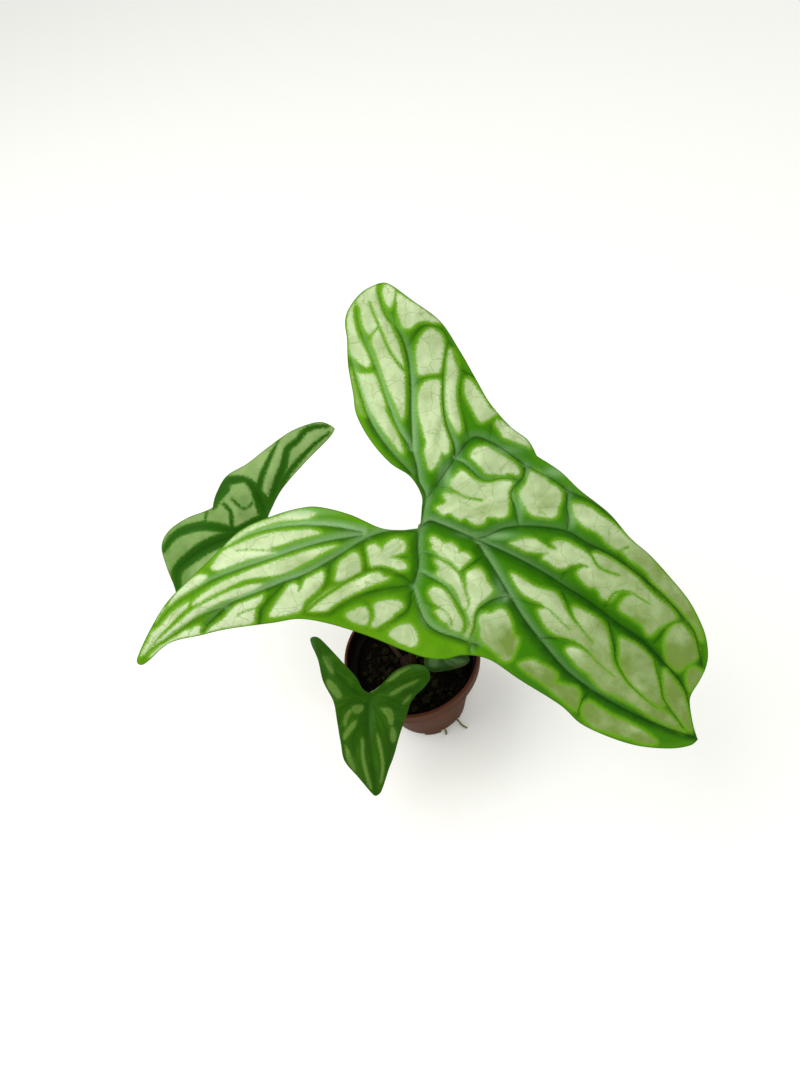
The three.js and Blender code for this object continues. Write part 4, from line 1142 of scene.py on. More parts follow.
def makeBlade(leaf, veins, fields, dullFields, looks, finishes, slot):
    toneOf, warmOf, shadeOf = looks
    shape = finishOfBlade
    edges = [np.vstack([smoothLine(half["front"], steps=5), smoothLine(half["back"], steps=5),
                        smoothLine(half["sinus"], steps=5)[::-1]]) for half in leaf["halves"]]
    outline = np.vstack([edges[0], edges[1][::-1]])
    vertices, faces, kinds, sheets, values = [], [], [], [], []
    count = 0
    for half in leaf["halves"]:
        rowCount = sum(leaf["rows"]) + 1
        sides = []
        for under, columns in ((False, leaf["columns"]), (True, leaf["underColumns"])):
            points = bladeGrid(leaf, half, columns)[0]
            height = bladeDroop(leaf, points) - ribFurrows(leaf, points)
            height += bladeArch(leaf, points, leaf["archReach"])
            signed, ownHalf, clear, sheen, shade, outsideBands = veinField(
                points, veins, leaf["bandShare"])
            distance = np.abs(signed)
            margin = lineDistance(points, outline)[0]
            swell = 1 - np.exp(-(distance / shape["swellWidth"]) ** 2)
            height += shape["swell"] * swell * fade(margin, 0, shape["reliefInset"]) * leaf["relief"]
            pucker = lumpNoise(points[:, 0] / 16, points[:, 1] / 16, 5, 3)
            height += shape["pucker"] * pucker * fade(margin, 0, 10) * leaf["relief"]
            weight = fade(ownHalf, 0.5, 6) * 0.75 + 0.25
            thickness = shape["halfThickness"] * (0.35 + 0.65 * fade(margin, 0, 3))
            furrowWidth = shape["furrowWidth"] + 0.25 * ownHalf
            if under:
                ridge = shape["ridge"] * weight * np.exp(-(distance / (1.6 + 0.3 * ownHalf)) ** 2)
                lift = -thickness - ridge * fade(margin, 0, 4)
            else:
                furrow = shape["furrow"] * weight * np.exp(-(distance / furrowWidth) ** 2)
                lift = thickness
                height -= furrow * fade(margin, 0, 4) * leaf["relief"]
            place = onSightLines(points, leaf["depth"])
            towardsEye = eye - place
            towardsEye /= np.linalg.norm(towardsEye, axis=1, keepdims=True)
            place = place + towardsEye * height[:, None] - viewForward * lift[:, None]
            field = paleField(points, fields)
            dull = paleField(points, dullFields)
            tone = toneOf(points) * np.where(dull > field, shape["dullTone"], 1.0)
            field = np.minimum(np.maximum(field, dull), outsideBands)
            near = clear * (1 - fade(distance, shape["nearFrom"], shape["nearTo"]))
            near = near * (0.3 + 0.7 * fade(ownHalf, 1, 5))
            near = near * (0.4 + 0.6 * fade(points[:, 0], 380, 430))
            # Painted glints raise the painted sheen in soft spots
            for x, y, wide, high, strength in leaf["glints"]:
                sheen = np.maximum(sheen, strength * spot(points, x, y, wide, high))
            values.append(np.stack([field, signed * 5 / (ownHalf + 3), near, sheen, tone,
                                    warmOf(points, margin), margin, shade * shadeOf(points)], axis=1))
            vertices.append(place)
            sheets.append(points / sheetUnit)
            quads = gridFaces(rowCount, columns + 1) + count
            faces.append(quads)
            kinds.append(np.full(len(quads), int(under)))
            sides.append((count, columns + 1))
            count += len(place)
        # The wall that joins both faces along the outer margin and the sinus
        row = np.arange(rowCount - 1)
        (topStart, topStride), (underStart, underStride) = sides
        top = topStart + row * topStride + topStride - 1
        bottom = underStart + row * underStride + underStride - 1
        faces.append(np.stack([top, top + topStride, bottom + underStride, bottom], axis=1))
        row = np.arange(leaf["rows"][0], rowCount - 1)
        topInner, bottomInner = topStart + row * topStride, underStart + row * underStride
        faces.append(np.stack([topInner + topStride, topInner, bottomInner,
                               bottomInner + underStride], axis=1))
        kinds.append(np.ones(len(faces[-1]) + len(faces[-2]), int))
    piece = newPiece(leaf["piece"], np.vstack(vertices), np.vstack(faces), finishes,
                     np.concatenate(kinds), sharp=shape["sharpAngle"])
    values = np.vstack(values)
    names = ("field", "vein", "near", "sheen", "tone", "warm", "margin", "shade")
    for name, column in zip(names, values.T):
        addAttribute(piece, name, column)
    sheet = np.vstack(sheets)
    addAttribute(piece, "sheet", np.column_stack([sheet, np.zeros(len(sheet))]))
    pointOutwards(piece)
    piece.data.set_sharp_from_angle(angle=math.radians(shape["sharpAngle"]))
    belongs(piece, slot, leaf["node"])
    return piece


def largeAxes(points):
    # Along the midrib from the joint, and across it towards the viewer
    joint, apex = np.array(largeLeaf["midrib"][-1]), np.array(largeLeaf["midrib"][0])
    axis = (apex - joint) / np.linalg.norm(apex - joint)
    return (points - joint) @ axis, (points - joint) @ np.array((-axis[1], axis[0]))


def softStreaks(leaf, points, seed):
    # Long soft streaks that spread from the joint: painted light and shade of the folds between veins
    reach = points - np.array(leaf["midrib"][-1])
    angle = np.arctan2(reach[:, 1], reach[:, 0])
    return lumpNoise(angle * 13, np.linalg.norm(reach, axis=1) / 34, seed, 3)


def largeTone(points):
    # Silver is brightest at the left lobe and darker along the front lobe and towards its margins
    # The darkening is painted shade where the blade turns away from the light, and the streaks
    # and spots are painted light and shade
    x = points[:, 0]
    along, aside = largeAxes(points)
    tone = 0.7 - 0.66 * fade(along, 60, 320)
    tone -= 0.24 * fade(aside, 14, 40) * fade(along, 80, 130)
    tone += 0.16 * fade(330 - x, 0, 70) - 0.14 * fade(200 - x, 0, 60)
    tone -= 0.35 * spot(points, 501, 641, 16, 18) + 0.3 * spot(points, 543, 497, 11, 14)
    tone += 0.3 * softStreaks(largeLeaf, points, 21) - 0.16 * spot(points, 487, 498, 22, 18)
    tone += 0.3 * spot(points, 572, 648, 8, 6) + 0.35 * spot(points, 634, 728, 16, 8)
    return np.clip(tone, 0.04, 1)


def largeWarm(points, margin):
    # Painted light: yellow-green glow of light through the lower middle, ending sharply near x 516
    litThroughHeart = 0.7 * spot(points, 430, 641, 62, 28) * (1 - fade(points[:, 0], 512, 520))
    # The two spots are painted highlights of that glow
    spots = spot(points, 431.5, 650.5, 6, 5) + spot(points, 458, 648, 8, 4)
    left = 0.42 * fade(440 - points[:, 0], 0, 60)
    # Warmer along the margin, except round x 540, y 690, where the margin is left in painted shade
    rim = 0.25 * (1 - fade(margin, 2, 8)) * (1 - spot(points, 540, 690, 40, 40))
    return np.clip(litThroughHeart + 0.5 * spots + left + rim + 0.08, 0, 1)


def largeShade(points):
    along, aside = largeAxes(points)
    midBand = 0.9 * spot(points, 640, 648, 26, 14)
    return 0.72 + 0.28 * fade(along, 50, 200) * (1 - fade(-aside, 110, 150)) + midBand


def steady(value):
    # The same tone or shade all over a blade
    return lambda points: np.full(len(points), value)


def smallTone(points):
    # The streaks are painted light and shade of the folds
    return 0.85 + 0.9 * softStreaks(smallLeaf, points, 23)


def middleTone(points):
    tone = 0.85 - 0.4 * fade(540 - points[:, 0] - 0.2 * points[:, 1], 180, 270)
    tone += 0.5 * lumpNoise(points[:, 0] / 11, points[:, 1] / 17, 12, 3)
    tone -= 0.35 * spot(points, 182, 592, 14, 26)
    return tone - 0.5 * spot(points, 246, 515, 9, 5) - 0.3 * spot(points, 242, 500, 10, 6)


def plainWarm(points, margin):
    return 0.15 + 0.3 * (1 - fade(margin, 1, 6))


def smallWarm(points, margin):
    patches = lumpNoise(points[:, 0] / 9, points[:, 1] / 14, 8, 2) ** 2
    # The streaks are painted light of the folds
    streaks = fade(softStreaks(smallLeaf, points, 24), 0, 0.5)
    return 0.02 + (0.3 + 0.5 * fade(700 - points[:, 1], 0, 25)) * patches + 0.25 * streaks


def youngWarm(points, margin):
    return 0.8 * spot(points, 461, 665, 8, 2.5)


makeBlade(largeLeaf, largeVeins, largeFields, largeDullFields,
          (largeTone, largeWarm, largeShade), leafFinishes["silver"], "leaf_silver")
print("large blade ready")
makeBlade(middleLeaf, middleVeins, middleFields, [],
          (middleTone, plainWarm, steady(0.35)), leafFinishes["middle"], "leaf_dark")
makeBlade(smallLeaf, smallVeins, smallFields, [],
          (smallTone, smallWarm, steady(0.7)), leafFinishes["small"], "leaf_dark")
makeBlade(youngLeaf, youngVeins, youngFields, [],
          (steady(0.8), youngWarm, steady(0.7)), leafFinishes["young"], "leaf_dark")
print("smaller blades ready")

# Petioles: tubes along one cubic curve each, from the crown's socket up to the blade's joint

crownShape = {
    "centre": (-0.005, 0.002),
    "radius": 0.0066,
    "scarDepth": 0.035,  # shares of the radius
    "lobeDepth": 0.04,
    "scarPitch": 2600,  # radians of the scars' wave in a metre of height
}
petioleShape = {
    "socketBottom": 0.060,
    "socketRing": 0.004,
    "headBelow": 0.0012,  # from the blade's middle surface down to the petiole's end
    "sides": 40,
    "step": 0.0012,
    "girth": 0.9,  # all shares of the radius
    "footSwell": 0.28,
    "headSwell": 0.14,
    "headRound": 0.8,
    "channelDepth": 0.14,
    "ribHeight": 0.02,
    "ribCount": 10,
    "footReach": 0.08,  # share of the length
}
petioles = {
    "petiole_large": {
        "leaf": largeLeaf, "radius": 0.0023, "angle": 330,
        "rise": (0.003, -0.006, 0.095), "approach": (0, 0.034, -0.046),
    },
    "petiole_middle": {
        "leaf": middleLeaf, "radius": 0.0019, "angle": 130,
        "rise": (-0.009, 0.012, 0.052), "approach": (0.016, 0.002, -0.034),
    },
    "petiole_small": {
        "leaf": smallLeaf, "radius": 0.0015, "angle": 250,
        "rise": (0, -0.004, 0.028), "approach": (0.014, 0.009, -0.012),
    },
    "petiole_young": {
        "leaf": youngLeaf, "radius": 0.0011, "angle": 30,
        "rise": (0.004, -0.002, 0.018), "approach": (-0.005, 0.006, -0.008),
    },
}


def petioleFinish():
    board = Board("petioleSkin")
    place = board.objectPlace()
    along = board.attribute("along")
    streak = board.noise(place, 420.0, 3.0, 0.6)
    spots = board.cells(place, 900.0, "F1")
    skin = board.blend(along.between(0.04, 0.5), colour(66, 36, 28), colour(62, 84, 30))
    skin = board.blend(along.between(0.45, 0.95), skin, colour(78, 114, 40))
    skin = board.blend(streak.between(0.45, 0.75) * 0.45, skin, colour(66, 78, 30))
    skin = board.blend((1 - spots.between(0.05, 0.22)) * 0.35, skin, colour(58, 40, 26))
    normal = board.bump(streak, 0.35, 0.0003)
    return board.finish(Base_Color=skin, Roughness=0.42 + streak * 0.15, Normal=normal)


def tube(path, radii, sides, ripple=None):
    # A round section carried along a path, its frame turned as little as possible, closed ends
    tangent = np.gradient(path, axis=0)
    tangent /= np.linalg.norm(tangent, axis=1, keepdims=True)
    side = np.cross(tangent[0], (0, 0, 1.0) if abs(tangent[0][2]) < 0.9 else (1.0, 0, 0))
    sidesOut = []
    for direction in tangent:
        side = side - direction * (side @ direction)
        side = side / np.linalg.norm(side)
        sidesOut.append(side)
    across = np.array(sidesOut)
    over = np.cross(tangent, across)
    angle = 2 * np.pi * np.arange(sides) / sides
    radius = radii[:, None] * (1 if ripple is None else ripple(angle)[None, :])
    rings = (path[:, None] + radius[..., None] * (np.cos(angle)[None, :, None] * across[:, None]
                                                  + np.sin(angle)[None, :, None] * over[:, None]))
    vertices = np.vstack([rings.reshape(-1, 3), path[:1], path[-1:]])
    quads = gridFaces(len(path), sides, wrap=True)
    first, last = len(vertices) - 2, len(vertices) - 1
    turn = np.arange(sides)
    foot = np.stack([np.full(sides, first), (turn + 1) % sides, turn], axis=1)
    end = (len(path) - 1) * sides
    head = np.stack([np.full(sides, last), end + turn, end + (turn + 1) % sides], axis=1)
    return vertices, quads.tolist() + foot.tolist() + head.tolist()


def petiolePath(item):
    # Cubic Bezier from the socket, up its own rise, to the joint from below
    leaf = item["leaf"]
    turn = math.radians(item["angle"])
    foot = np.array((crownShape["centre"][0] + petioleShape["socketRing"] * math.cos(turn),
                     crownShape["centre"][1] + petioleShape["socketRing"] * math.sin(turn),
                     petioleShape["socketBottom"]))
    joint, before = np.array(leaf["midrib"][-1]), np.array(leaf["midrib"][-2])
    inward = (before - joint) / np.linalg.norm(before - joint)
    seat = (joint + inward * (item["radius"] / millimetre / 2 + 1.5))[None]
    place = onSightLines(seat, leaf["depth"])
    towardsEye = (eye - place) / np.linalg.norm(eye - place)
    height = bladeDroop(leaf, seat) - ribFurrows(leaf, seat)
    height += bladeArch(leaf, seat, leaf["archReach"])
    head = (place + towardsEye * height[:, None])[0] + viewForward * petioleShape["headBelow"]
    controls = np.array([foot, foot + item["rise"], head + item["approach"], head])
    t = np.linspace(0, 1, 400)[:, None]
    curve = ((1 - t) ** 3 * controls[0] + 3 * (1 - t) ** 2 * t * controls[1]
             + 3 * (1 - t) * t ** 2 * controls[2] + t ** 3 * controls[3])
    length = np.concatenate([[0], np.cumsum(np.linalg.norm(np.diff(curve, axis=0), axis=1))])
    stations = np.linspace(0, length[-1], int(length[-1] / petioleShape["step"]) + 2)
    return np.stack([np.interp(stations, length, curve[:, axis]) for axis in range(3)], axis=1)


petioleSkin = petioleFinish()
for name, item in petioles.items():
    path = petiolePath(item)
    along = np.linspace(0, 1, len(path))
    fromHead = (1 - along) * len(path) * petioleShape["step"] / item["radius"]
    atFoot = np.exp(-(along / petioleShape["footReach"]) ** 2)
    atHead = np.exp(-((fromHead - 2.2) / 1.4) ** 2)
    girth = petioleShape["girth"] + petioleShape["footSwell"] * atFoot
    girth = girth + petioleShape["headSwell"] * atHead
    rounding = 1 - (1 - fromHead / petioleShape["headRound"]) ** 2
    girth *= np.sqrt(np.clip(rounding, 0.06, 1)) ** (fromHead < petioleShape["headRound"])

    def grooved(angle):
        # One shallow channel along the upper side, and fine ribs all round
        channel = petioleShape["channelDepth"] * np.exp(-((angle - np.pi) / 0.35) ** 2)
        return 1 - channel + petioleShape["ribHeight"] * np.cos(petioleShape["ribCount"] * angle)

    vertices, faces = tube(path, item["radius"] * girth, petioleShape["sides"], grooved)
    piece = newPiece(name.split("_")[1] + "Petiole", vertices, faces, [petioleSkin])
    ringAlong = np.repeat(along, petioleShape["sides"])
    addAttribute(piece, "along", np.concatenate([ringAlong, [0, 1]]))
    pointOutwards(piece)
    belongs(piece, "petiole", name)
print("petioles ready")

# Crown: a short knotty stem, ringed by old leaf scars, mostly under the soil

crownRings = [  # share of the radius, height in metres
    (0.0, 0.044), (0.55, 0.045), (0.9, 0.0552), (0.8, 0.0592), (1.0, 0.0642), (0.93, 0.070),
    (0.8, 0.073), (0.5, 0.0745), (0.0, 0.0747),
]


def crownFinish():
    board = Board("crownSkin")
    place = board.objectPlace()
    bark = board.noise(place, 260.0, 5.0, 0.65)
    skin = board.blend(bark.between(0.3, 0.7), colour(16, 11, 8), colour(38, 25, 18))
    normal = board.bump(bark, 0.6, 0.0006)
    return board.finish(Base_Color=skin, Roughness=0.65 + bark * 0.2, Normal=normal,
                        Specular_IOR_Level=0.1)


def lathe(profile, segments):
    # A profile of (radius, height) turned about the vertical axis
    angle = 2 * np.pi * np.arange(segments) / segments
    radius, height = profile[:, 0], profile[:, 1]
    vertices = np.stack([radius[:, None] * np.cos(angle), radius[:, None] * np.sin(angle),
                         np.broadcast_to(height[:, None], (len(profile), segments))], axis=2)
    return vertices, gridFaces(len(profile), segments, wrap=True)


profile = evenPoints(crownRings, 60)
profile[:, 0] = np.clip(profile[:, 0], 0, None) * crownShape["radius"]
rings, faces = lathe(profile, 64)
around = np.arctan2(rings[..., 1], rings[..., 0])
scars = 1 + crownShape["scarDepth"] * np.sin(rings[..., 2] * crownShape["scarPitch"])
scars = scars + crownShape["lobeDepth"] * np.sin(3 * around)
rings[..., :2] *= scars[..., None]
rings[..., :2] += crownShape["centre"]
crown = newPiece("crownStem", rings.reshape(-1, 3), faces, [crownFinish()])
pointOutwards(crown)
belongs(crown, "crown", "crown")

# Roots: two tips that come out of one slot and lie along the table

rootShape = {"radius": 0.0008, "sides": 20, "steps": 90, "unevenness": 0.08, "tipFrom": 0.97}
roots = {  # distance from the pot's axis in mm, direction in degrees, height in mm
    "root_long": [
        (21.5, -54, 9), (26.5, -54, 6), (30.2, -54.5, 3.2), (33.2, -55, 1.6), (37.5, -56.3, 1.15),
        (42, -55.3, 1.15),
    ],
    "root_short": [
        (21, -79, 9), (26, -80, 6), (29.5, -79.5, 3.2), (32, -78.5, 1.6), (35.2, -80.5, 1.15),
    ],
}


def rootFinish():
    board = Board("rootSkin")
    place = board.objectPlace()
    grain = board.noise(place, 700.0, 4.0, 0.6)
    skin = board.blend(grain.between(0.3, 0.7), colour(92, 92, 60), colour(150, 146, 110))
    normal = board.bump(grain, 0.5, 0.0003)
    return board.finish(Base_Color=skin, Roughness=0.7 + grain * 0.15, Normal=normal)


rootSkin = rootFinish()
for name, stations in roots.items():
    stations = np.array(stations, float)
    turn = np.radians(stations[:, 1])
    points = np.column_stack([stations[:, 0] * np.cos(turn), stations[:, 0] * np.sin(turn),
                              stations[:, 2]]) * millimetre
    path = evenPoints(points, rootShape["steps"])
    along = np.linspace(0, 1, len(path))
    waves = np.sin(along * 70) * np.sin(along * 23 + 1)
    radii = rootShape["radius"] * (1 + rootShape["unevenness"] * waves)
    intoTip = np.clip((along - rootShape["tipFrom"]) / (1 - rootShape["tipFrom"]), 0, 1)
    radii *= np.sqrt(np.clip(1 - intoTip ** 2, 0.03, 1))
    vertices, faces = tube(path, radii, rootShape["sides"])
    piece = newPiece(name.split("_")[1] + "Root", vertices, faces, [rootSkin])
    pointOutwards(piece)
    belongs(piece, "root", name)
print("crown and roots ready")

# Soil: a lumpy bed and the bark chips sunk in it, in one piece

soilShape = {
    "top": 0.070,
    "topRadius": 0.0444,
    "bottomRadius": 0.0294,
    "bottom": 0.0019,
    "rings": 110,
    "segments": 220,
    "crumbSize": 0.004,
    "crumbHeight": 0.0016,
    "chips": 210,
    "chipSize": (0.0012, 0.0042),
    "chipRings": 6,
    "chipSides": 8,
    "chipDent": 0.18,
    "chipLean": 0.9,
    "chipInset": 0.0045,  # from the chips' middles to the soil's edge
    "seed": 11,
}


def soilFinish():
    board = Board("soilCrumb")
    place = board.objectPlace()
    crumb = board.noise(place, 420.0, 5.0, 0.7)
    lump = board.noise(place, 90.0, 3.0, 0.6)
    flecks = board.cells(place, 620.0, "F1")
    chip = board.attribute("chip")
    skin = board.blend(crumb.between(0.35, 0.75), colour(5, 4, 3), colour(20, 17, 11))
    skin = board.blend(lump.between(0.5, 0.75) * 0.5, skin, colour(17, 16, 8))
    skin = board.blend((1 - flecks.between(0.06, 0.2)) * 0.25, skin, colour(46, 42, 28))
    chipSkin = board.blend(crumb.between(0.3, 0.7), colour(13, 12, 6), colour(36, 34, 19))
    skin = board.blend(chip, skin, chipSkin)
    normal = board.bump(crumb, 0.8, 0.0012)
    return board.finish(Base_Color=skin, Roughness=0.82 + crumb * 0.15, Normal=normal,
                        Specular_IOR_Level=0.03)


def soilLumps(x, y):
    # The packed soil's own lumps, in metres
    x, y = x / millimetre, y / millimetre
    broad = 1.3 * np.sin(0.19 * x + 1.1) * np.cos(0.17 * y - 0.4)
    fine = 0.9 * np.sin(0.47 * x + 0.31 * y) * np.cos(0.41 * y - 0.29 * x + 0.7)
    return (broad + fine) * millimetre


def makeSoil():
    shape = soilShape
    edge = shape["top"] - millimetre
    share = np.linspace(1, 0, shape["rings"])
    profile = np.vstack([
        [(0, shape["bottom"]), (shape["bottomRadius"], shape["bottom"])],
        np.column_stack([np.linspace(shape["bottomRadius"], shape["topRadius"], 14)[1:],
                         np.linspace(shape["bottom"], edge, 14)[1:]]),
        np.column_stack([shape["topRadius"] * share[1:], np.full(len(share) - 1, shape["top"])]),
    ])
    rings, faces = lathe(profile, shape["segments"])
    onTop = rings[..., 2] > shape["top"] - millimetre / 2
    x, y = rings[..., 0], rings[..., 1]
    crumbs = lumpNoise(x / shape["crumbSize"] + 40, y / shape["crumbSize"] + 40, 3, 4)
    crumbs = crumbs * shape["crumbHeight"]
    inward = fade(shape["topRadius"] - np.hypot(x, y), 0, 0.003)
    rings[..., 2] += np.where(onTop, soilLumps(x, y) * inward + crumbs * inward, 0)
    bedVertices = rings.reshape(-1, 3)
    # Chips: squashed balls of a few rings, with seeded sizes, turns and dents, sunk by about half
    random = np.random.default_rng(shape["seed"])
    count, ringCount, sides = shape["chips"], shape["chipRings"], shape["chipSides"]
    polar, round_ = np.meshgrid(np.linspace(0, np.pi, ringCount),
                                2 * np.pi * np.arange(sides) / sides, indexing="ij")
    ball = np.stack([np.sin(polar) * np.cos(round_), np.sin(polar) * np.sin(round_),
                     np.cos(polar)], axis=2)
    ball = np.sign(ball) * np.abs(ball) ** 0.7
    size = random.uniform(*shape["chipSize"], (count, 1)) * random.uniform(0.45, 1, (count, 3))
    dents = 1 + random.uniform(-shape["chipDent"], shape["chipDent"], (count, ringCount, sides, 1))
    dents[:, 0] = dents[:, 0, :1]
    dents[:, -1] = dents[:, -1, :1]
    body = ball[None] * size[:, None, None] * dents
    turn = random.uniform(0, 2 * np.pi, count)
    lean = random.uniform(-shape["chipLean"], shape["chipLean"], count)
    spin = np.zeros((count, 3, 3))
    spin[:, 0, 0], spin[:, 0, 1], spin[:, 1, 0] = np.cos(turn), -np.sin(turn), np.sin(turn)
    spin[:, 1, 1], spin[:, 2, 2] = np.cos(turn), 1
    tip = np.zeros((count, 3, 3))
    tip[:, 0, 0], tip[:, 0, 2], tip[:, 2, 0] = np.cos(lean), np.sin(lean), -np.sin(lean)
    tip[:, 1, 1], tip[:, 2, 2] = 1, np.cos(lean)
    body = np.einsum("nij,njk,nrsk->nrsi", spin, tip, body)
    radius = (shape["topRadius"] - shape["chipInset"]) * np.sqrt(random.uniform(0.02, 1, count))
    round_ = random.uniform(0, 2 * np.pi, count)
    x, y = radius * np.cos(round_), radius * np.sin(round_)
    z = shape["top"] + soilLumps(x, y) + size.min(axis=1) * random.uniform(-0.3, 0.5, count)
    body += np.stack([x, y, z], axis=1)[:, None, None]
    chipFaces = gridFaces(ringCount, sides, wrap=True)
    offsets = len(bedVertices) + ringCount * sides * np.arange(count)
    allFaces = np.vstack([faces, (chipFaces[None] + offsets[:, None, None]).reshape(-1, 4)])
    vertices = np.vstack([bedVertices, body.reshape(-1, 3)])
    soil = newPiece("soilBed", vertices, allFaces, [soilFinish()])
    chipMarks = np.ones(ringCount * sides * count)
    addAttribute(soil, "chip", np.concatenate([np.zeros(len(bedVertices)), chipMarks]))
    pointOutwards(soil)
    belongs(soil, "soil", "soil")


makeSoil()
print("soil ready")

# Pot: a tapered cup with a stepped collar, a rolled rim and slots through the bottom corner

potShape = {
    "height": rimHeight,
    "rimRadius": rimRadius,
    "baseRadius": 0.031,
    "shoulderRadius": 0.0465,
    "collarHeight": 0.015,
    "wall": 0.0013,
    "floor": 0.0016,
    "slotCount": 6,
    "slotMiddle": -67.5,
    "slotHalfAngle": 17,
    "slotInner": 0.0255,
    "slotTop": 0.006,
    "segments": 288,
    "sideRises": (0, 0.02, 0.042),  # stations of the side above the slots
    # The painted shade on the inner wall fades out between these heights
    "insideShadeFrom": 0.0846,  # the dark inside ends between these heights
    "insideShadeTo": 0.086,
    "sharpAngle": 40,
}


def potFinish():
    board = Board("potPlastic")
    place = board.objectPlace()
    grain = board.noise(place, 1400.0, 2.0)
    cloud = board.noise(place, 45.0, 4.0, 0.6)
    scuffs = board.noise(place, 190.0, 5.0, 0.75)
    height = board.node("ShaderNodeSeparateXYZ", None, {0: place}, out=2)
    skin = board.blend(cloud.between(0.3, 0.75), colour(73, 39, 21), colour(86, 47, 28))
    skin = board.blend(scuffs.between(0.6, 0.8) * 0.35, skin, colour(104, 68, 46))
    dust = (1 - height.between(0.0, 0.03)) * cloud.between(0.3, 0.7) * 0.35
    skin = board.blend(dust, skin, colour(78, 53, 34))
    # Painted shade: the inner wall turns nearly black, standing in for the shadow inside the pot
    paintedInsideShade = board.attribute("inside") * (0.9 + scuffs * 0.15)
    skin = board.blend(paintedInsideShade, skin, colour(12, 8, 6))
    normal = board.bump(grain, 0.12, 0.0003)
    return board.finish(Base_Color=skin, Roughness=0.48 + scuffs * 0.2, Normal=normal,
                        Specular_IOR_Level=0.06)


def makePot():
    shape = potShape
    height, rim, wall = shape["height"], shape["rimRadius"], shape["wall"]
    shoulder = height - shape["collarHeight"]
    collar = rim - millimetre
    taper = (shape["shoulderRadius"] - shape["baseRadius"]) / (shoulder - shape["floor"])
    slotTopRadius = shape["baseRadius"] + taper * (shape["slotTop"] - shape["floor"])
    # Stations from the middle of the floor to the rim: outer radius and height, inner ones
    stations = np.array([
        (0, 0, 0, shape["floor"]),
        (0.020, 0, 0.020, shape["floor"]),
        (shape["slotInner"], 0, shape["slotInner"], shape["floor"]),
        (shape["baseRadius"] - 0.0012, 0, 0.0285, shape["floor"]),
        (shape["baseRadius"] - 0.0003, 0.0003, 0.0292, shape["floor"]),
        (shape["baseRadius"], 0.0012, shape["baseRadius"] - wall, shape["floor"] + 0.0002),
        *((slotTopRadius + taper * rise, shape["slotTop"] + rise,
           slotTopRadius + taper * rise - wall, shape["slotTop"] + rise)
          for rise in shape["sideRises"]),
        (shape["shoulderRadius"] - 0.0002, shoulder - 0.0006, 0.0452, shoulder + 0.0002),
        (shape["shoulderRadius"] + 0.0002, shoulder + 0.0001, 0.0456, shoulder + 0.0012),
        (collar - 0.0006, shoulder + 0.0010, collar - wall - 0.0008, shoulder + wall + 0.0010),
        (collar - 0.0001, shoulder + 0.0014, collar - wall - 0.0002, shoulder + wall + 0.0015),
        (collar, shoulder + 0.0022, collar - wall, shoulder + wall + 0.0024),
        (collar + 0.0002, height - 0.0034, collar - wall, height - 0.0024),
        (collar + 0.0004, height - 0.0028, collar - wall, height - 0.0016),
        (rim - 0.0003, height - 0.0026, collar - wall + 0.0001, height - 0.0010),
        (rim, height - 0.0023, collar - wall + 0.0003, height - 0.0006),
        (rim, height - 0.0007, rim - 0.0019, height - 0.0002),
        (rim - 0.0002, height - 0.0002, rim - 0.0015, height),
        (rim - 0.0006, height, rim - 0.0011, height),
    ])
    slotFrom, slotTo = 2, 6
    angle = 2 * np.pi * np.arange(shape["segments"]) / shape["segments"]
    pitch = 360 / shape["slotCount"]
    degrees = np.degrees(angle + math.pi / shape["segments"]) - shape["slotMiddle"]
    inSlot = np.abs((degrees + pitch / 2) % pitch - pitch / 2) < shape["slotHalfAngle"]
    outer, _ = lathe(stations[:, :2], shape["segments"])
    inner, _ = lathe(stations[:, 2:], shape["segments"])
    count = len(stations)
    size = count * shape["segments"]
    quads = gridFaces(count, shape["segments"], wrap=True).reshape(count - 1, shape["segments"], 4)
    solid = np.ones((count - 1, shape["segments"]), bool)
    solid[slotFrom:slotTo] = ~inSlot
    kept = quads[solid]
    faces = [kept, kept + size]
    column = np.arange(shape["segments"])
    following = (column + 1) % shape["segments"]
    for station, columns in ((slotFrom, inSlot), (slotTo, inSlot), (count - 1, np.ones_like(inSlot))):
        start = station * shape["segments"]
        here, there = start + column[columns], start + following[columns]
        faces.append(np.stack([here, there, there + size, here + size], axis=1))
    edges = np.flatnonzero(inSlot != np.roll(inSlot, 1))
    for station in range(slotFrom, slotTo):
        low, high = station * shape["segments"] + edges, (station + 1) * shape["segments"] + edges
        faces.append(np.stack([low, high, high + size, low + size], axis=1))
    vertices = np.vstack([outer.reshape(-1, 3), inner.reshape(-1, 3)])
    pot = newPiece("potCup", vertices, np.vstack(faces), [potFinish()])
    heights = vertices[size:, 2]
    # Painted shade inside the pot: full on the inner wall, fading out just under the rim
    paintedInsideShade = 1 - fade(heights, shape["insideShadeFrom"], shape["insideShadeTo"])
    addAttribute(pot, "inside", np.concatenate([np.zeros(size), paintedInsideShade]))
    pointOutwards(pot)
    pot.data.set_sharp_from_angle(angle=math.radians(shape["sharpAngle"]))
    belongs(pot, "pot", "pot")


makePot()
print("pot ready")

# Camera, floor and light

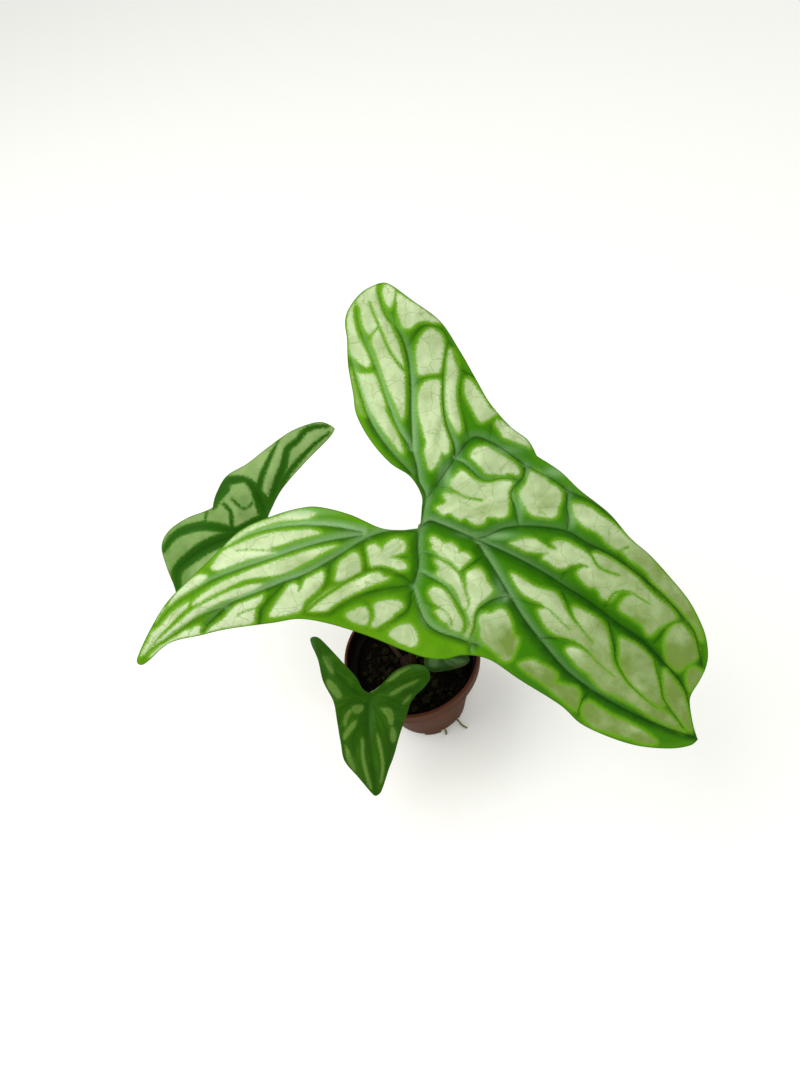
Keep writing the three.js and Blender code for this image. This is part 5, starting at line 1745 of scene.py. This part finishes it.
camera = bpy.data.objects.new("viewpoint", bpy.data.cameras.new("viewpoint"))
bpy.context.scene.collection.objects.link(camera)
axes = np.column_stack([viewRight, -viewDown, -viewForward, eye])
camera.matrix_world = Matrix([*axes.tolist(), [0, 0, 0, 1]])
camera.data.sensor_fit = "VERTICAL"
camera.data.sensor_height = viewer["sensorHeight"]
camera.data.lens = viewer["sensorHeight"] * viewer["focal"] / viewer["pictureHeight"]
camera.data.clip_start = viewer["nearest"]
bpy.context.scene.camera = camera


floorShape = {"reach": 3.0, "glow": 0.14}  # the glow keeps the far floor nearly white


def floorFinish():
    board = Board("paleTable")
    place = board.objectPlace()
    grain = board.noise(place, 60.0, 3.0)
    skin = board.blend(grain * 0.6, colour(246, 246, 243), colour(240, 240, 236))
    return board.finish(Base_Color=skin, Roughness=0.7 + grain * 0.1, Emission_Color=skin,
                        Emission_Strength=floorShape["glow"])


reach = floorShape["reach"]
table = newPiece("tableTop", [(-reach, -reach, 0), (reach, -reach, 0), (reach, reach, 0),
                              (-reach, reach, 0)], [(0, 1, 2, 3)], [floorFinish()])

lights = {  # place, size in metres, power in watts, colour
    "window": ((-0.8, 0.1, 1.6), 1.4, 19, (1.0, 0.99, 0.96)),
    "room": ((0.8, -0.9, 1.4), 1.4, 6, (1.0, 1.0, 1.0)),
}
aim = Vector((0.0, 0.0, 0.18))
air = {"colour": (1.0, 1.0, 0.98, 1), "strength": 0.62}
for name, (place, size, power, tint) in lights.items():
    light = bpy.data.objects.new(name, bpy.data.lights.new(name, "AREA"))
    bpy.context.scene.collection.objects.link(light)
    light.data.size, light.data.energy, light.data.color = size, power, tint
    light.location = place
    light.rotation_euler = (aim - Vector(place)).to_track_quat("-Z", "Y").to_euler()

world = bpy.data.worlds.new("paleRoom")
bpy.context.scene.world = world
world.use_nodes = True
background = world.node_tree.nodes["Background"]
background.inputs["Color"].default_value = air["colour"]
background.inputs["Strength"].default_value = air["strength"]
bpy.context.scene.view_settings.view_transform = "Standard"
print("camera and light ready")
